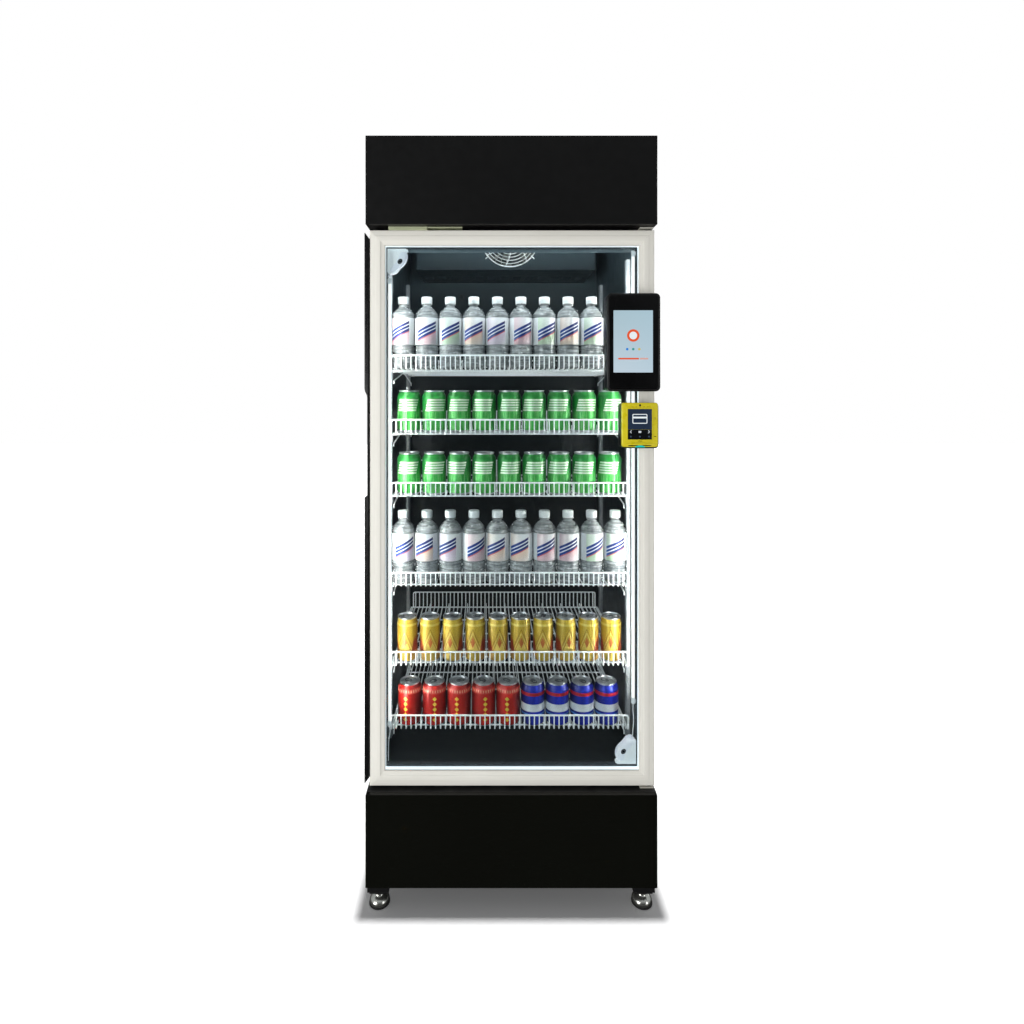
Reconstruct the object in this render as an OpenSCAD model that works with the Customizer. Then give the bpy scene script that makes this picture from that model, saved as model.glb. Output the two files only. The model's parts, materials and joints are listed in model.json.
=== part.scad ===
// Upright vending cooler with one glass door, six wire shelves and a door-mounted payment terminal.
// Frame: origin on the floor at the centre of the width, +Z up. The door faces -Y, hinges on +X.
// Left and right are as seen from the front. All sizes are in millimetres.

/* [Cabinet] */
// Overall width of the cabinet
cab_w = 740; // [730:1:760]
// Depth from the header's front face to the back
cab_d = 700; // [680:5:730]
// Overall height, floor to top
cab_h = 1980; // [1960:5:2020]
// Insulated side wall thickness
side_wall = 34; // [30:1:38]
// Height of the underside of the base above the floor
base_bottom = 74; // [70:1:80]
// Height of the top of the base
base_top = 310; // [306:1:312]
// Height of the underside of the header
header_bottom = 1756; // [1754:1:1760]
// Outer sheet metal thickness
sheet = 1.2; // [0.8:0.1:1.5]

/* [Door] */
// Door thickness, front to back
door_t = 45; // [44:1:48]
// Face width of the door's frame members
stile = 41; // [38:1:44]
// Thickness of one glass pane
pane_t = 4; // [3:0.5:4]
// Gap between the two panes
pane_gap = 10; // [8:1:10]
// Half the gap left at each mitre
mitre_gap = 0.08; // [0.05:0.01:0.2]
// Hinge pin radius
hinge_pin_r = 5; // [4:0.5:5]
// Running clearance round the hinge pins, on the radius
hinge_clear = 0.05; // [0.02:0.01:0.1]
// Height of the grip recess in the door's edge handle, lower end
grip_z0 = 1061; // [1000:1:1080]
// Height of the grip recess, upper end
grip_z1 = 1329; // [1300:1:1400]

/* [Shelves] */
// Half the width of a shelf
shelf_hw = 322; // [316:1:322]
// Heights of the six shelf floors, top shelf first
shelf_z = [1396, 1221, 1050, 806, 591, 419];
// Shelf depth, front rail to rear guard
shelf_d = 460; // [440:5:470]
// Shelf wire thickness
wire = 4; // [3.5:0.1:4.5]
// Spacing of the floor wires
wire_pitch = 13.4; // [13:0.1:14]
// Height of the front rail above the shelf floor
rail_h = 36; // [30:1:40]
// Height of the rear guard above the shelf floor
guard_h = 48; // [40:1:52]

/* [Drinks] */
// Radius of a standard can
can_r = 33; // [32:0.1:33.2]
// Height of a standard can
can_h = 115; // [112:0.5:116]
// Radius of a slim can
slim_r = 28; // [26.5:0.1:28.5]
// Height of a slim can
slim_h = 122; // [118:0.5:134]
// Radius of a bottle
bottle_r = 32.4; // [30:0.1:32.5]
// Height of a bottle with its cap
bottle_h = 202; // [198:0.5:206]

/* [Levelling feet] */
// Distance of the feet from the centre line, across
foot_x = 342; // [336:1:342]
// Distance of the feet from the centre line, front to back
foot_y = 293; // [280:1:296]
// Stud radius
stud_r = 5; // [4:0.5:6]

/* [Hidden] */
$fn = 48;

gap = 0.05;                      // clearance between neighbouring pieces
panel_t = 1.5;                   // header, base and grille panel thickness

half_w = cab_w / 2;
front_y = -340;                  // front face of header and base
back_y = front_y + cab_d;
body_y = front_y + 78;           // front face of the insulated cabinet
base_y0 = front_y + 12;          // front of the base frame

// chilled space
cavity_hw = half_w - side_wall;
cavity_z0 = base_top + 36;
cavity_z1 = cab_h - 45;          // ceiling above the opening
cavity_y1 = back_y - 66;         // rear wall
opening_z1 = header_bottom - 44; // top of the door opening
front_wall = 42;                 // thickness of the front wall above the opening

// door outline and glass opening
door_y0 = front_y + 20;          // front crest of the door
door_y1 = door_y0 + door_t;      // back of the door frame
door_x0 = -half_w + 5.5;
door_x1 = half_w;
door_z0 = base_top + 6;
door_z1 = header_bottom - 8;
glass_x0 = door_x0 + stile;
glass_x1 = door_x1 - stile;
glass_z0 = door_z0 + stile;
glass_z1 = door_z1 - stile;
glass_y0 = door_y0 + 9;          // outer face of the outer pane
glass_y1 = glass_y0 + 2 * pane_t + pane_gap;
hinge_x = half_w - 14;
hinge_y = door_y0 + 20;

// magnetic lock body, across and front to back
lock_x0 = -316;
lock_x1 = -216;
lock_y0 = door_y0 + 6;
lock_y1 = door_y0 + 32;

shelf_y0 = body_y + 27;          // front of the shelves
front_row_y = shelf_y0 + 4 + 34; // centres of the front row of drinks

// panel screws: header sides, then rear grille
screw_hole_r = 2.2;
header_screw_y = body_y - 18;
header_screw_z = [header_bottom + 40, cab_h - 40];
grille_screw_x = [-half_w + 18, half_w - 18];
grille_screw_z = [base_bottom + 18, base_top - 18];

module box3(x0, x1, y0, y1, z0, z1)
  translate([x0, y0, z0]) cube([x1 - x0, y1 - y0, z1 - z0]);

// box whose two x faces may come in either order
module side_box(xa, xb, y0, y1, z0, z1) box3(min(xa, xb), max(xa, xb), y0, y1, z0, z1);

// cylinders along each axis
module xcyl(x0, x1, y, z, r) translate([x0, y, z]) rotate([0, 90, 0]) cylinder(r = r, h = x1 - x0);
module ycyl(x, z, y0, y1, r) translate([x, y1, z]) rotate([90, 0, 0]) cylinder(r = r, h = y1 - y0);
module zcyl(x, y, z0, z1, r) translate([x, y, z0]) cylinder(r = r, h = z1 - z0);

// rectangle with round corners, lower left corner at x0, y0
module rrect(x0, y0, x1, y1, r) {
  translate([x0 + r, y0]) square([x1 - x0 - 2 * r, y1 - y0]);
  translate([x0, y0 + r]) square([x1 - x0, y1 - y0 - 2 * r]);
  for (x = [x0 + r, x1 - r], y = [y0 + r, y1 - r]) translate([x, y]) circle(r = r);
}

// plate in the XZ plane, between two depths
module xz_plate(y0, y1) translate([0, y1, 0]) rotate([90, 0, 0]) linear_extrude(y1 - y0) children();

// ---------------------------------------------------------------- cabinet body
// margins of the breaker frame round the door opening
breaker_side = 14;
breaker_below = 16;
breaker_above = 20;

module breaker_recess(depth)
  box3(-cavity_hw - breaker_side, cavity_hw + breaker_side, body_y - 1, body_y + depth,
    cavity_z0 - breaker_below, opening_z1 + breaker_above);

// chilled space grown by an offset, starting at a given depth
module liner_space(grow, y0) {
  box3(-cavity_hw - grow, cavity_hw + grow, y0, cavity_y1 + grow,
    cavity_z0 - grow, opening_z1 + grow);
  box3(-cavity_hw - grow, cavity_hw + grow, body_y + front_wall - grow, cavity_y1 + grow,
    opening_z1 - 40, cavity_z1 + grow);
}

module outer_shell() color("#17181a") difference() {
  box3(-half_w, half_w, body_y, back_y, base_top, cab_h);
  box3(-half_w + sheet, half_w - sheet, body_y + sheet, back_y - sheet,
    base_top + sheet, cab_h - sheet);
  breaker_recess(5);
}

// foam panels behind the outer skin, one per wall
module insulation_foam() color("#e8d9a0") {
  foam_hw = cavity_hw + sheet - gap; // between the side panels
  foam_y0 = body_y + sheet;
  foam_y1 = cavity_y1 + sheet - gap;
  foam_z0 = base_top + sheet;
  foam_z1 = cab_h - sheet;
  for (side = [-1, 1]) difference() { // sides
    side_box(side * (half_w - sheet), side * (cavity_hw + sheet), foam_y0, back_y - sheet,
      foam_z0, foam_z1);
    breaker_recess(4);
  }
  box3(-foam_hw, foam_hw, cavity_y1 + sheet, back_y - sheet, foam_z0, foam_z1); // back
  difference() { // floor
    box3(-foam_hw, foam_hw, foam_y0, foam_y1, foam_z0, cavity_z0 - sheet);
    breaker_recess(4);
  }
  box3(-foam_hw, foam_hw, foam_y0, foam_y1, cavity_z1 + sheet, foam_z1); // top
  difference() { // front, above the opening
    box3(-foam_hw, foam_hw, foam_y0, body_y + front_wall - sheet,
      opening_z1 + sheet, cavity_z1 + sheet - gap);
    breaker_recess(4);
  }
}

module inner_liner() color("#23282c") difference() {
  liner_space(sheet, body_y + 4);
  liner_space(0, body_y - 5);
}

module breaker_frame() color("#30363a") xz_plate(body_y, body_y + 4) difference() {
  translate([-cavity_hw - breaker_side, cavity_z0 - breaker_below])
    square([2 * (cavity_hw + breaker_side),
      opening_z1 - cavity_z0 + breaker_below + breaker_above]);
  translate([-cavity_hw, cavity_z0]) square([2 * cavity_hw, opening_z1 - cavity_z0]);
}

// opening for the mains inlet
inlet_x0 = -340;
inlet_x1 = -290;
inlet_z0 = 96;
inlet_z1 = 140;

module rear_grille() color("#202225") xz_plate(back_y - panel_t, back_y) difference() {
  translate([-half_w + 8, base_bottom + 6]) square([cab_w - 16, base_top - base_bottom - 12]);
  for (column = [-1, 0, 1], row = [0:9])
    translate([column * 205 - 75, base_bottom + 34 + row * 17.5]) square([150, 7]);
  translate([inlet_x0, inlet_z0]) square([inlet_x1 - inlet_x0, inlet_z1 - inlet_z0]);
  for (x = grille_screw_x, z = grille_screw_z) translate([x, z]) circle(r = screw_hole_r);
}

module inlet_box(grow, y0, y1)
  box3(inlet_x0 - grow, inlet_x1 + grow, y0, y1, inlet_z0 - grow, inlet_z1 + grow);

module mains_inlet() color("#0b0b0b") difference() {
  union() {
    inlet_box(-0.5, back_y - 30, back_y + 1);
    inlet_box(3, back_y + 0.1, back_y + 1.6);
  }
  inlet_box(-12, back_y - 20, back_y + 3);
}

// ---------------------------------------------------------------- header
module header_shell() color("#121213") difference() {
  box3(-half_w, half_w, front_y, body_y, header_bottom, cab_h);
  box3(-half_w + panel_t, half_w - panel_t, front_y + panel_t, body_y + 1,
    header_bottom + panel_t, cab_h - panel_t);
  // the lower lip stops short of the cabinet, and is notched for the lock
  box3(-half_w + panel_t, half_w - panel_t, body_y - 5, body_y + 1,
    header_bottom - 1, header_bottom + 2);
  box3(lock_x0 - 2, lock_x1 + 2, lock_y0 - 2, lock_y1 + 2, header_bottom - 1, header_bottom + 2);
  for (side = [-1, 1], z = header_screw_z)
    xcyl(side * half_w - 3, side * half_w + 3, header_screw_y, z, screw_hole_r);
}

module header_electronics() color("#8c9196") {
  // vision computer with a finned front
  difference() {
    box3(-170, 70, body_y - 54, body_y - gap, 1830, 1940);
    for (i = [0:14]) box3(-160 + i * 15, -153 + i * 15, body_y - 55, body_y - 42, 1840, 1930);
  }
  // power supply with a grid of blind holes
  difference() {
    box3(110, 300, body_y - 46, body_y - gap, 1836, 1932);
    for (i = [0:9], k = [0:3]) ycyl(130 + i * 16, 1852 + k * 20, body_y - 47, body_y - 44, 4);
  }
  // router
  box3(-320, -215, body_y - 30, body_y - gap, 1850, 1930);
}

// ---------------------------------------------------------------- base
module base_frame() color("#151618") difference() {
  box3(-half_w, half_w, base_y0, back_y - panel_t, base_bottom, base_top);
  box3(-half_w + panel_t, half_w - panel_t, base_y0 + panel_t, back_y - 2 * panel_t,
    base_bottom + 2, base_top - panel_t);
  // open front behind the kick panel, open rear behind the grille
  for (y = [[front_y + 10, front_y + 16], [back_y - 5, back_y]])
    box3(-half_w + 25, half_w - 25, y[0], y[1], base_bottom + 14, base_top - 14);
  // open above the machinery, for the pipes
  box3(-half_w + 30, half_w - 30, body_y + 20, back_y - 30, base_top - 3, base_top + 1);
  // side louvres
  for (side = [-1, 1], row = [0:7])
    box3(side * half_w - 4, side * half_w + 4, 60, 260,
      base_bottom + 60 + row * 18, base_bottom + 67 + row * 18);
  for (sx = [-1, 1], sy = [-1, 1])
    zcyl(sx * foot_x, sy * foot_y, base_bottom - 1, base_bottom + 3, stud_r + 1.5);
  for (x = grille_screw_x, z = grille_screw_z) ycyl(x, z, back_y - 6, back_y, screw_hole_r);
}

module foot_bosses() color("#0e0e0e")
  for (sx = [-1, 1], sy = [-1, 1]) translate([sx * foot_x, sy * foot_y, 0]) difference() {
    union() {
      translate([-28, -25, 44]) cube([56, 50, base_bottom - 44]);
      translate([-23, -21, 38]) cube([46, 42, 7]);
    }
    translate([0, 0, 30]) cylinder(r = stud_r + gap, h = 60);
  }

// levelling foot outlines: [radius, height]
foot_cup = [
  [0, 6.2], [25.6, 6.2], [25.8, 9.5], [25.3, 13], [23.8, 18],
  [21, 23], [17.2, 27], [14.4, 30], [0, 30]];
foot_pad = [[0, 0], [25, 0], [26.6, 1.2], [27, 3.5], [26.4, 6], [0, 6]];

// cup, nut and stud on a dark pad; sx and sy pick the corner
module foot(sx, sy) translate([sx * foot_x, sy * foot_y, 0]) {
  color("#d5d7d8") union() {
    rotate_extrude() polygon(foot_cup);
    translate([0, 0, 29.9]) cylinder(r = 12.6, h = 7.5, $fn = 6);
    translate([0, 0, 36]) cylinder(r = stud_r, h = 52);
  }
  color("#1a1a1a") rotate_extrude() polygon(foot_pad);
}
module foot_front_left() foot(-1, -1);
module foot_front_right() foot(1, -1);
module foot_rear_left() foot(-1, 1);
module foot_rear_right() foot(1, 1);

module base_front_panel() color("#0d0d0d") difference() {
  box3(-half_w, half_w, front_y, base_y0 - 0.2, base_bottom, base_top);
  box3(-half_w + panel_t, half_w - panel_t, front_y + panel_t, front_y + 13,
    base_bottom + panel_t, base_top - panel_t);
}

// ---------------------------------------------------------------- parts shared by both coils
// upright fins on level tubes, with an end plate at each side
module finned(x0, x1, y0, y1, z0, z1, fins, rows, columns, tube_r) {
  for (i = [0:fins - 1]) let (x = x0 + 8 + i * (x1 - x0 - 16) / (fins - 1))
    box3(x - 0.6, x + 0.6, y0, y1, z0, z1);
  for (row = [0:rows - 1], column = [0:columns - 1])
    xcyl(x0, x1, y0 + (y1 - y0) * (column + 0.5) / columns,
      z0 + (z1 - z0) * (row + 0.5) / rows, tube_r);
  for (x = [x0, x1 - 2]) box3(x, x + 2, y0 - 2, y1 + 2, z0, z1);
}

// pitched blades round a hub, from depth y0 back, axis at x = z = 0
module fan_blades(r, hub, y0, depth, count) {
  ycyl(0, 0, y0, y0 + depth, hub);
  intersection() {
    for (i = [0:count - 1])
      rotate([0, i * 360 / count, 0]) translate([0, y0 + depth / 2, 0]) rotate([32, 0, 0])
        translate([0, -0.9, -hub * 0.95]) cube([r + 10, 1.8, hub * 1.9]);
    ycyl(0, 0, y0 + 1, y0 + depth - 1, r);
  }
}

// one block per angle round a fan axis [x, z]; corner is the block's place at angle 0
module fan_arms(axis, y, angles, corner, size)
  for (a = angles) translate([axis[0], y, axis[1]]) rotate([0, a, 0]) translate(corner) cube(size);

// ---------------------------------------------------------------- refrigeration, lower compartment
machine_z = base_bottom + 2 + gap; // on the base frame's floor
comp_x = 190;                      // compressor axis
comp_y = 150;
port_dy = 45;                      // compressor ports, behind the axis
port_z = 160;
condenser_x0 = -330;
condenser_x1 = -40;
condenser_fan = [-185, 190];       // fan axis x, z

// compressor outline: [radius, height]
compressor_profile = [
  [0, 94], [62, 94], [76, 104], [80, 122], [80, 182], [78, 196],
  [66, 218], [44, 234], [18, 241], [0, 242]];

module compressor() {
  bolt_x = [-93, 93];
  bolt_y = [-46, 46];
  color("#101010") translate([comp_x, comp_y, 0]) {
    rotate_extrude() polygon(compressor_profile);
    difference() { // mounting plate
      translate([-105, -60, 88]) cube([210, 120, 4]);
      for (x = bolt_x, y = bolt_y) translate([x, y, 80]) cylinder(r = 5, h = 20);
    }
    translate([-20, -20, 91]) cube([40, 40, 6]);
    translate([-112, -30, 120]) cube([36, 60, 60]); // box on the left side
    translate([-90, port_dy, port_z]) rotate([0, 90, 0]) cylinder(r = 5, h = 40);
    translate([50, port_dy, port_z]) rotate([0, 90, 0]) cylinder(r = 6.4, h = 38);
  }
  // feet under the plate
  color("#222222") for (x = bolt_x, y = bolt_y)
    translate([comp_x + x, comp_y + y, machine_z]) cylinder(r = 12, h = 11.9);
}

module condenser_coil() color("#2a2a2a")
  finned(condenser_x0, condenser_x1, -262, -206, machine_z, 290,
    fins = 26, rows = 6, columns = 2, tube_r = 4);

module condenser_fan_shroud() {
  arm_angles = [45, 135, 225, 315];
  x0 = condenser_x0 - 2;
  x1 = condenser_x1 + 2;
  color("#1c1c1c") difference() {
    box3(x0, x1, -202, -176, machine_z, 292);
    box3(x0 + 3, x1 - 3, -203, -179, 79, 289);
    ycyl(condenser_fan[0], condenser_fan[1], -190, -170, 88);
  }
  // motor, its arms and their feet on the shroud
  color("#3a3a3a") union() {
    ycyl(condenser_fan[0], condenser_fan[1], -148, -96, 30);
    ycyl(condenser_fan[0], condenser_fan[1], -100, -90, 14);
    fan_arms(condenser_fan, -140, arm_angles, [0, -3, -3], [100, 6, 6]);
    fan_arms(condenser_fan, -140, arm_angles, [92, -37, -4], [7, 42, 8]);
  }
}

module condenser_fan_blade() color("#5a5f63")
  translate([condenser_fan[0], 0, condenser_fan[1]]) union() {
    fan_blades(r = 82, hub = 24, y0 = -176, depth = 22, count = 5);
    ycyl(0, 0, -160, -148.3, 4);
  }

module drip_tray() color("#2b2d30") difference() {
  box3(110, 335, -290, -40, machine_z, 112);
  box3(112.5, 332.5, -287.5, -42.5, 79, 113);
}

module refrigerant_pipes() color("#b8693a") {
  port_y = comp_y + port_dy;
  coil_end = condenser_x1 + gap;
  pipe_top = base_top - 0.1; // just under the cabinet
  // discharge line, compressor to condenser
  union() {
    xcyl(58, comp_x - 90 - gap, port_y, port_z, 4);
    zcyl(62, port_y, 156.5, 265.5, 3.9);
    xcyl(-24, 65.5, port_y, 262, 3.8);
    ycyl(-20, 262, -238, 198.5, 3.9);
    xcyl(coil_end, -16.5, -234, 262, 3.7);
  }
  // liquid line with its filter drier, condenser to the foam
  union() {
    xcyl(coil_end, 23, -234, 130, 3.1);
    ycyl(20, 130, -237, 328, 3);
    ycyl(20, 130, -120, -20, 11);
    zcyl(20, 325, 127.2, pipe_top, 3.1);
  }
  // suction line, foam to compressor
  union() {
    xcyl(comp_x + 88 + gap, 305, port_y, port_z, 5.5);
    zcyl(300, port_y, 155, 265, 5.4);
    ycyl(300, 260, 190, 323, 5.3);
    zcyl(300, 318, 255, pipe_top, 5.4);
  }
}

// ---------------------------------------------------------------- refrigeration, upper compartment
evap_fan = [13, 1826];        // fan axis x, z
cover_y = front_y + 405;      // front of the cover
cover_z0 = 1726;
cover_hw = cavity_hw - 50;    // clear of the pilasters

module evaporator_cover() color("#1b2126") difference() {
  union() {
    box3(-cover_hw, cover_hw, cover_y, cover_y + 1.5, cover_z0, cavity_z1 - 2);
    box3(-cover_hw, cover_hw, cover_y, cavity_y1 - 2, cover_z0, cover_z0 + 1.5);
    for (x = [-cover_hw, cover_hw - 1.5])
      box3(x, x + 1.5, cover_y, cavity_y1 - 2, cover_z0, cavity_z1 - 2);
  }
  ycyl(evap_fan[0], evap_fan[1], cover_y - 1, cover_y + 3, 90);
  // slots in the underside
  for (i = [0:12], k = [0:2])
    box3(-272 + i * 43, -244 + i * 43, cover_y + 120 + k * 22, cover_y + 128 + k * 22,
      cover_z0 - 6, cover_z0 + 4);
}

module evaporator_coil() color("#c9ccce")
  finned(-270, 270, 190, 270, 1752, 1900, fins = 28, rows = 4, columns = 3, tube_r = 4.5);

module evaporator_fan_guard() color("#eef0f0") {
  ring_r = [14, 25, 36, 47, 58, 69, 80, 92];
  spoke_angles = [40, 140, 220, 320];
  half_wire = 1.3;
  xz_plate(cover_y - 8, cover_y - 5) translate(evap_fan) {
    for (r = ring_r) difference() {
      circle(r = r + half_wire);
      circle(r = r - half_wire);
    }
    for (a = spoke_angles) rotate(a) translate([13, -half_wire]) square([86, 2 * half_wire]);
  }
  // standoffs at the spoke ends
  for (a = spoke_angles)
    translate([evap_fan[0] + 98 * cos(a), 0, evap_fan[1] + 98 * sin(a)])
      ycyl(0, 0, cover_y - 7.8, cover_y - gap, 4);
}

module evaporator_fan_motor() color("#2e3235") union() {
  arm_angles = [0, 120, 240];
  ycyl(evap_fan[0], evap_fan[1], cover_y + 32, cover_y + 78, 32);
  fan_arms(evap_fan, cover_y + 36, arm_angles, [0, -2.5, -5], [104, 5, 10]);
  fan_arms(evap_fan, cover_y + 36, arm_angles, [98, -34.3, -6], [6, 36, 12]);
}

module evaporator_fan_blade() color("#3a3f43") translate([evap_fan[0], 0, evap_fan[1]]) union() {
  fan_blades(r = 82, hub = 22, y0 = cover_y + 5, depth = 22, count = 5);
  ycyl(0, 0, cover_y + 20, cover_y + 31.7, 4);
}

// ---------------------------------------------------------------- shelving
pilaster_y = [body_y + 77, 200];

// slotted channel on a side wall; side is -1 or 1
module pilaster(side, y) {
  wall_x = side * cavity_hw;
  difference() {
    side_box(wall_x, wall_x - side * 10, y - 10, y + 10, cavity_z0 + 24, opening_z1 - 12);
    side_box(wall_x + side, wall_x - side * 8.5, y - 8.5, y + 8.5,
      cavity_z0 + 20, opening_z1 - 8);
    for (k = [0:51])
      side_box(wall_x - side * 7, wall_x - side * 12, y - 3, y + 3,
        cavity_z0 + 34 + k * 25, cavity_z0 + 46 + k * 25);
  }
}
module shelf_pilasters() color("#8f979c") for (side = [-1, 1], y = pilaster_y) pilaster(side, y);

// angle clips on the pilasters, under the cross wires
module shelf_clips() color("#c8ccce") for (z = shelf_z, side = [-1, 1], y = pilaster_y) {
  x = side * (cavity_hw - 10);
  under = z - wire * 2;
  union() {
    side_box(x, x - side * 16, y - 7, y + 7, under - 2.2, under + 0.35);
    side_box(x, x - side * 1.8, y - 7, y + 7, under - 20, under + 0.35);
  }
}

// centres of the floor wires, and of the two end wires
wire_count = floor(shelf_hw * 2 / wire_pitch);
wire_x = [for (i = [0:wire_count]) -wire_count * wire_pitch / 2 + i * wire_pitch];
end_wire_x = [for (side = [-1, 1]) side * (shelf_hw - wire / 2)];

// flat wires for the shelf outlines: along the second axis, then across the full width
module long_wires(centres, start, length)
  for (x = centres) translate([x - wire / 2, start]) square([wire, length]);
module cross_wire(start) translate([-shelf_hw, start]) square([shelf_hw * 2, wire]);

module shelf(z) color("#f2f4f4") {
  // floor: wires front to back, lying on cross wires
  union() {
    translate([0, 0, z - wire]) linear_extrude(wire)
      long_wires(wire_x, shelf_y0 + wire + gap, shelf_d - 2 * wire - 2 * gap);
    translate([0, 0, z - 2 * wire + 0.4]) linear_extrude(wire) union() {
      // the first cross wire is set back from the rail
      for (k = [0:4])
        cross_wire(shelf_y0 + wire + 1 + (k == 0 ? 15 : k * (shelf_d - 3 * wire - 2) / 4));
      long_wires(end_wire_x, shelf_y0 + wire + 1, shelf_d - 2 * wire - 2);
    }
  }
  // front rail
  xz_plate(shelf_y0, shelf_y0 + wire) union() {
    long_wires(wire_x, z - wire * 1.6, rail_h + wire * 1.6);
    cross_wire(z + rail_h - wire);
    long_wires(end_wire_x, z - wire * 1.6, rail_h + wire * 1.6);
  }
  // rear guard
  xz_plate(shelf_y0 + shelf_d - wire, shelf_y0 + shelf_d) union() {
    long_wires(wire_x, z - wire, guard_h + wire);
    cross_wire(z + guard_h - wire);
    cross_wire(z - wire);
  }
}
module shelf_1() shelf(shelf_z[0]);
module shelf_2() shelf(shelf_z[1]);
module shelf_3() shelf(shelf_z[2]);
module shelf_4() shelf(shelf_z[3]);
module shelf_5() shelf(shelf_z[4]);
module shelf_6() shelf(shelf_z[5]);

// what stands on each shelf, as indices into shelf_z
bottle_shelves = [0, 3];
can_shelves = [1, 2];
slim_shelf = 4;
low_shelf = 5;

// facing positions across the shelf, and the points midway between them
function spread(count, half) = [for (i = [0:count - 1]) -half + i * 2 * half / (count - 1)];
function midpoints(v) = [for (i = [0:len(v) - 2]) (v[i] + v[i + 1]) / 2];
can_x = spread(9, 277);
slim_x = spread(10, 282);
bottle_x = spread(10, 293.4);
low_x = [for (x = spread(9, 272)) x - 3];

// wire hoop between two lanes
module divider(x, z, r = 1.2) union() {
  ycyl(x, z + 30, shelf_y0 + 16, shelf_y0 + 396, r);
  for (y = [18, 394]) zcyl(x, shelf_y0 + y, z + 0.1, z + 31, r + 0.05);
}
module lane_dividers() color("#f2f4f4") {
  for (k = can_shelves, x = midpoints(can_x)) divider(x, shelf_z[k]);
  for (x = midpoints(low_x)) divider(x, shelf_z[low_shelf], 0.8);
  for (x = midpoints(slim_x)) divider(x, shelf_z[slim_shelf]);
}

// ---------------------------------------------------------------- drinks
// outlines: [radius, height]
module can(r, h) rotate_extrude() polygon([
  [0, 5], [r - 14, 5], [r - 10, 0], [r - 7, 0], [r - 1.2, 8], [r, 12],
  [r, h - 16], [r - 1, h - 12], [r - 6.2, h - 3], [r - 5.6, h - 1],
  [r - 6, h], [r - 8, h], [r - 9, h - 4], [0, h - 4]]);
module bottle(r, h) rotate_extrude() polygon([
  // ribbed base
  [0, 6], [15, 3.4], [r - 12, 0.6], [r - 9, 0], [r - 6, 0.6], [r - 2.6, 3.6],
  [r - 0.2, 12], [r - 2, 19], [r - 0.2, 26], [r - 1.8, 33], [r - 0.2, 41],
  [r - 1.8, 48], [r - 0.2, 55], [r - 2.6, 62.5],
  // body and shoulder
  [r - 0.5, 68], [r - 0.5, 139], [r, 141], [r, 144], [r - 2.4, 153], [r - 8.6, 163],
  // neck and cap
  [r - 16, h - 32], [12.7, h - 27], [12.7, h - 23.8], [16.2, h - 23.2], [16.2, h - 22],
  [12.9, h - 21.4], [15.5, h - 20.2], [15.5, h - 1.2], [14, h], [0, h]]);

// copies of the child in the front row of a shelf
module front_row(xs, shelf_index)
  for (x = xs) translate([x, front_row_y, shelf_z[shelf_index]]) children();

module bottles() color("#c9ced2")
  for (k = bottle_shelves) front_row(bottle_x, k) bottle(bottle_r, bottle_h);
module cans_green() color("#1f9a3c")
  for (k = can_shelves) front_row(can_x, k) can(can_r, can_h);
module cans_gold() color("#d8b52a") front_row(slim_x, slim_shelf) can(slim_r, slim_h);
module cans_red() color("#b3181c")
  front_row([for (i = [0:4]) low_x[i]], low_shelf) can(can_r, can_h);
module cans_blue() color("#1b3fb0")
  front_row([for (i = [5:8]) low_x[i]], low_shelf) can(can_r, can_h);

// ---------------------------------------------------------------- hinges and lock
bush_r = 8;
door_ends = [[door_z0, 1], [door_z1, -1]]; // height of the end, direction into the door

// cylinder on the hinge axis, from and to measured into the door from one of its ends
module hinge_cyl(end, from, to, r) {
  za = end[0] + end[1] * from;
  zb = end[0] + end[1] * to;
  zcyl(hinge_x, hinge_y, min(za, zb), max(za, zb), r);
}

// level plate, upright flange on the cabinet and pin
module hinge_bracket(plate_z0, plate_z1, flange_z1, pin_z0, pin_z1)
  color("#b9bdbf") union() {
    box3(hinge_x - 24, half_w - 3, hinge_y - 14, body_y - gap, plate_z0, plate_z1);
    box3(hinge_x - 24, half_w - 3, body_y - 3.2, body_y - gap, plate_z0, flange_z1);
    zcyl(hinge_x, hinge_y, pin_z0, pin_z1, hinge_pin_r);
  }
module top_hinge_bracket()
  hinge_bracket(header_bottom - 4, header_bottom - 1, header_bottom + 44,
    door_z1 - 26, header_bottom - 2);
module bottom_hinge_bracket()
  hinge_bracket(base_top + 0.1, base_top + 3.2, base_top + 18, base_top + 1, door_z0 + 26);

module hinge_bushes() color("#3c3c3c") for (end = door_ends) difference() {
  union() {
    hinge_cyl(end, 0, 28, bush_r);
    hinge_cyl(end, -2, 0, 11);
  }
  hinge_cyl(end, -3, 27, hinge_pin_r + hinge_clear);
}

module maglock() color("#9aa79b") difference() {
  union() {
    box3(lock_x0, lock_x1, lock_y0, lock_y1, header_bottom - 4.2, header_bottom + 34);
    // fixing plate under the header's lip
    box3(-220, -126, lock_y0 + 1, lock_y1 - 1, header_bottom - 2.4, header_bottom - gap);
  }
  for (x = [lock_x0 + 16, lock_x1 - 16])
    zcyl(x, (lock_y0 + lock_y1) / 2, header_bottom + 20, header_bottom + 35, 3);
}
module armature_plate() color("#b8bdb4")
  box3(lock_x0, lock_x1, lock_y0 + 2, lock_y1 - 2, door_z1, door_z1 + 3.4);

module screw() union() {
  cylinder(r = 3.8, h = 1.8);
  translate([0, 0, -4]) cylinder(r = 1.9, h = 5);
}
module panel_screws() color("#2a2a2a") {
  for (side = [-1, 1], z = header_screw_z)
    translate([side * (half_w + 0.02), header_screw_y, z]) rotate([0, side * 90, 0]) screw();
  for (x = grille_screw_x, z = grille_screw_z)
    translate([x, back_y + 0.02, z]) rotate([-90, 0, 0]) screw();
}

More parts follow.
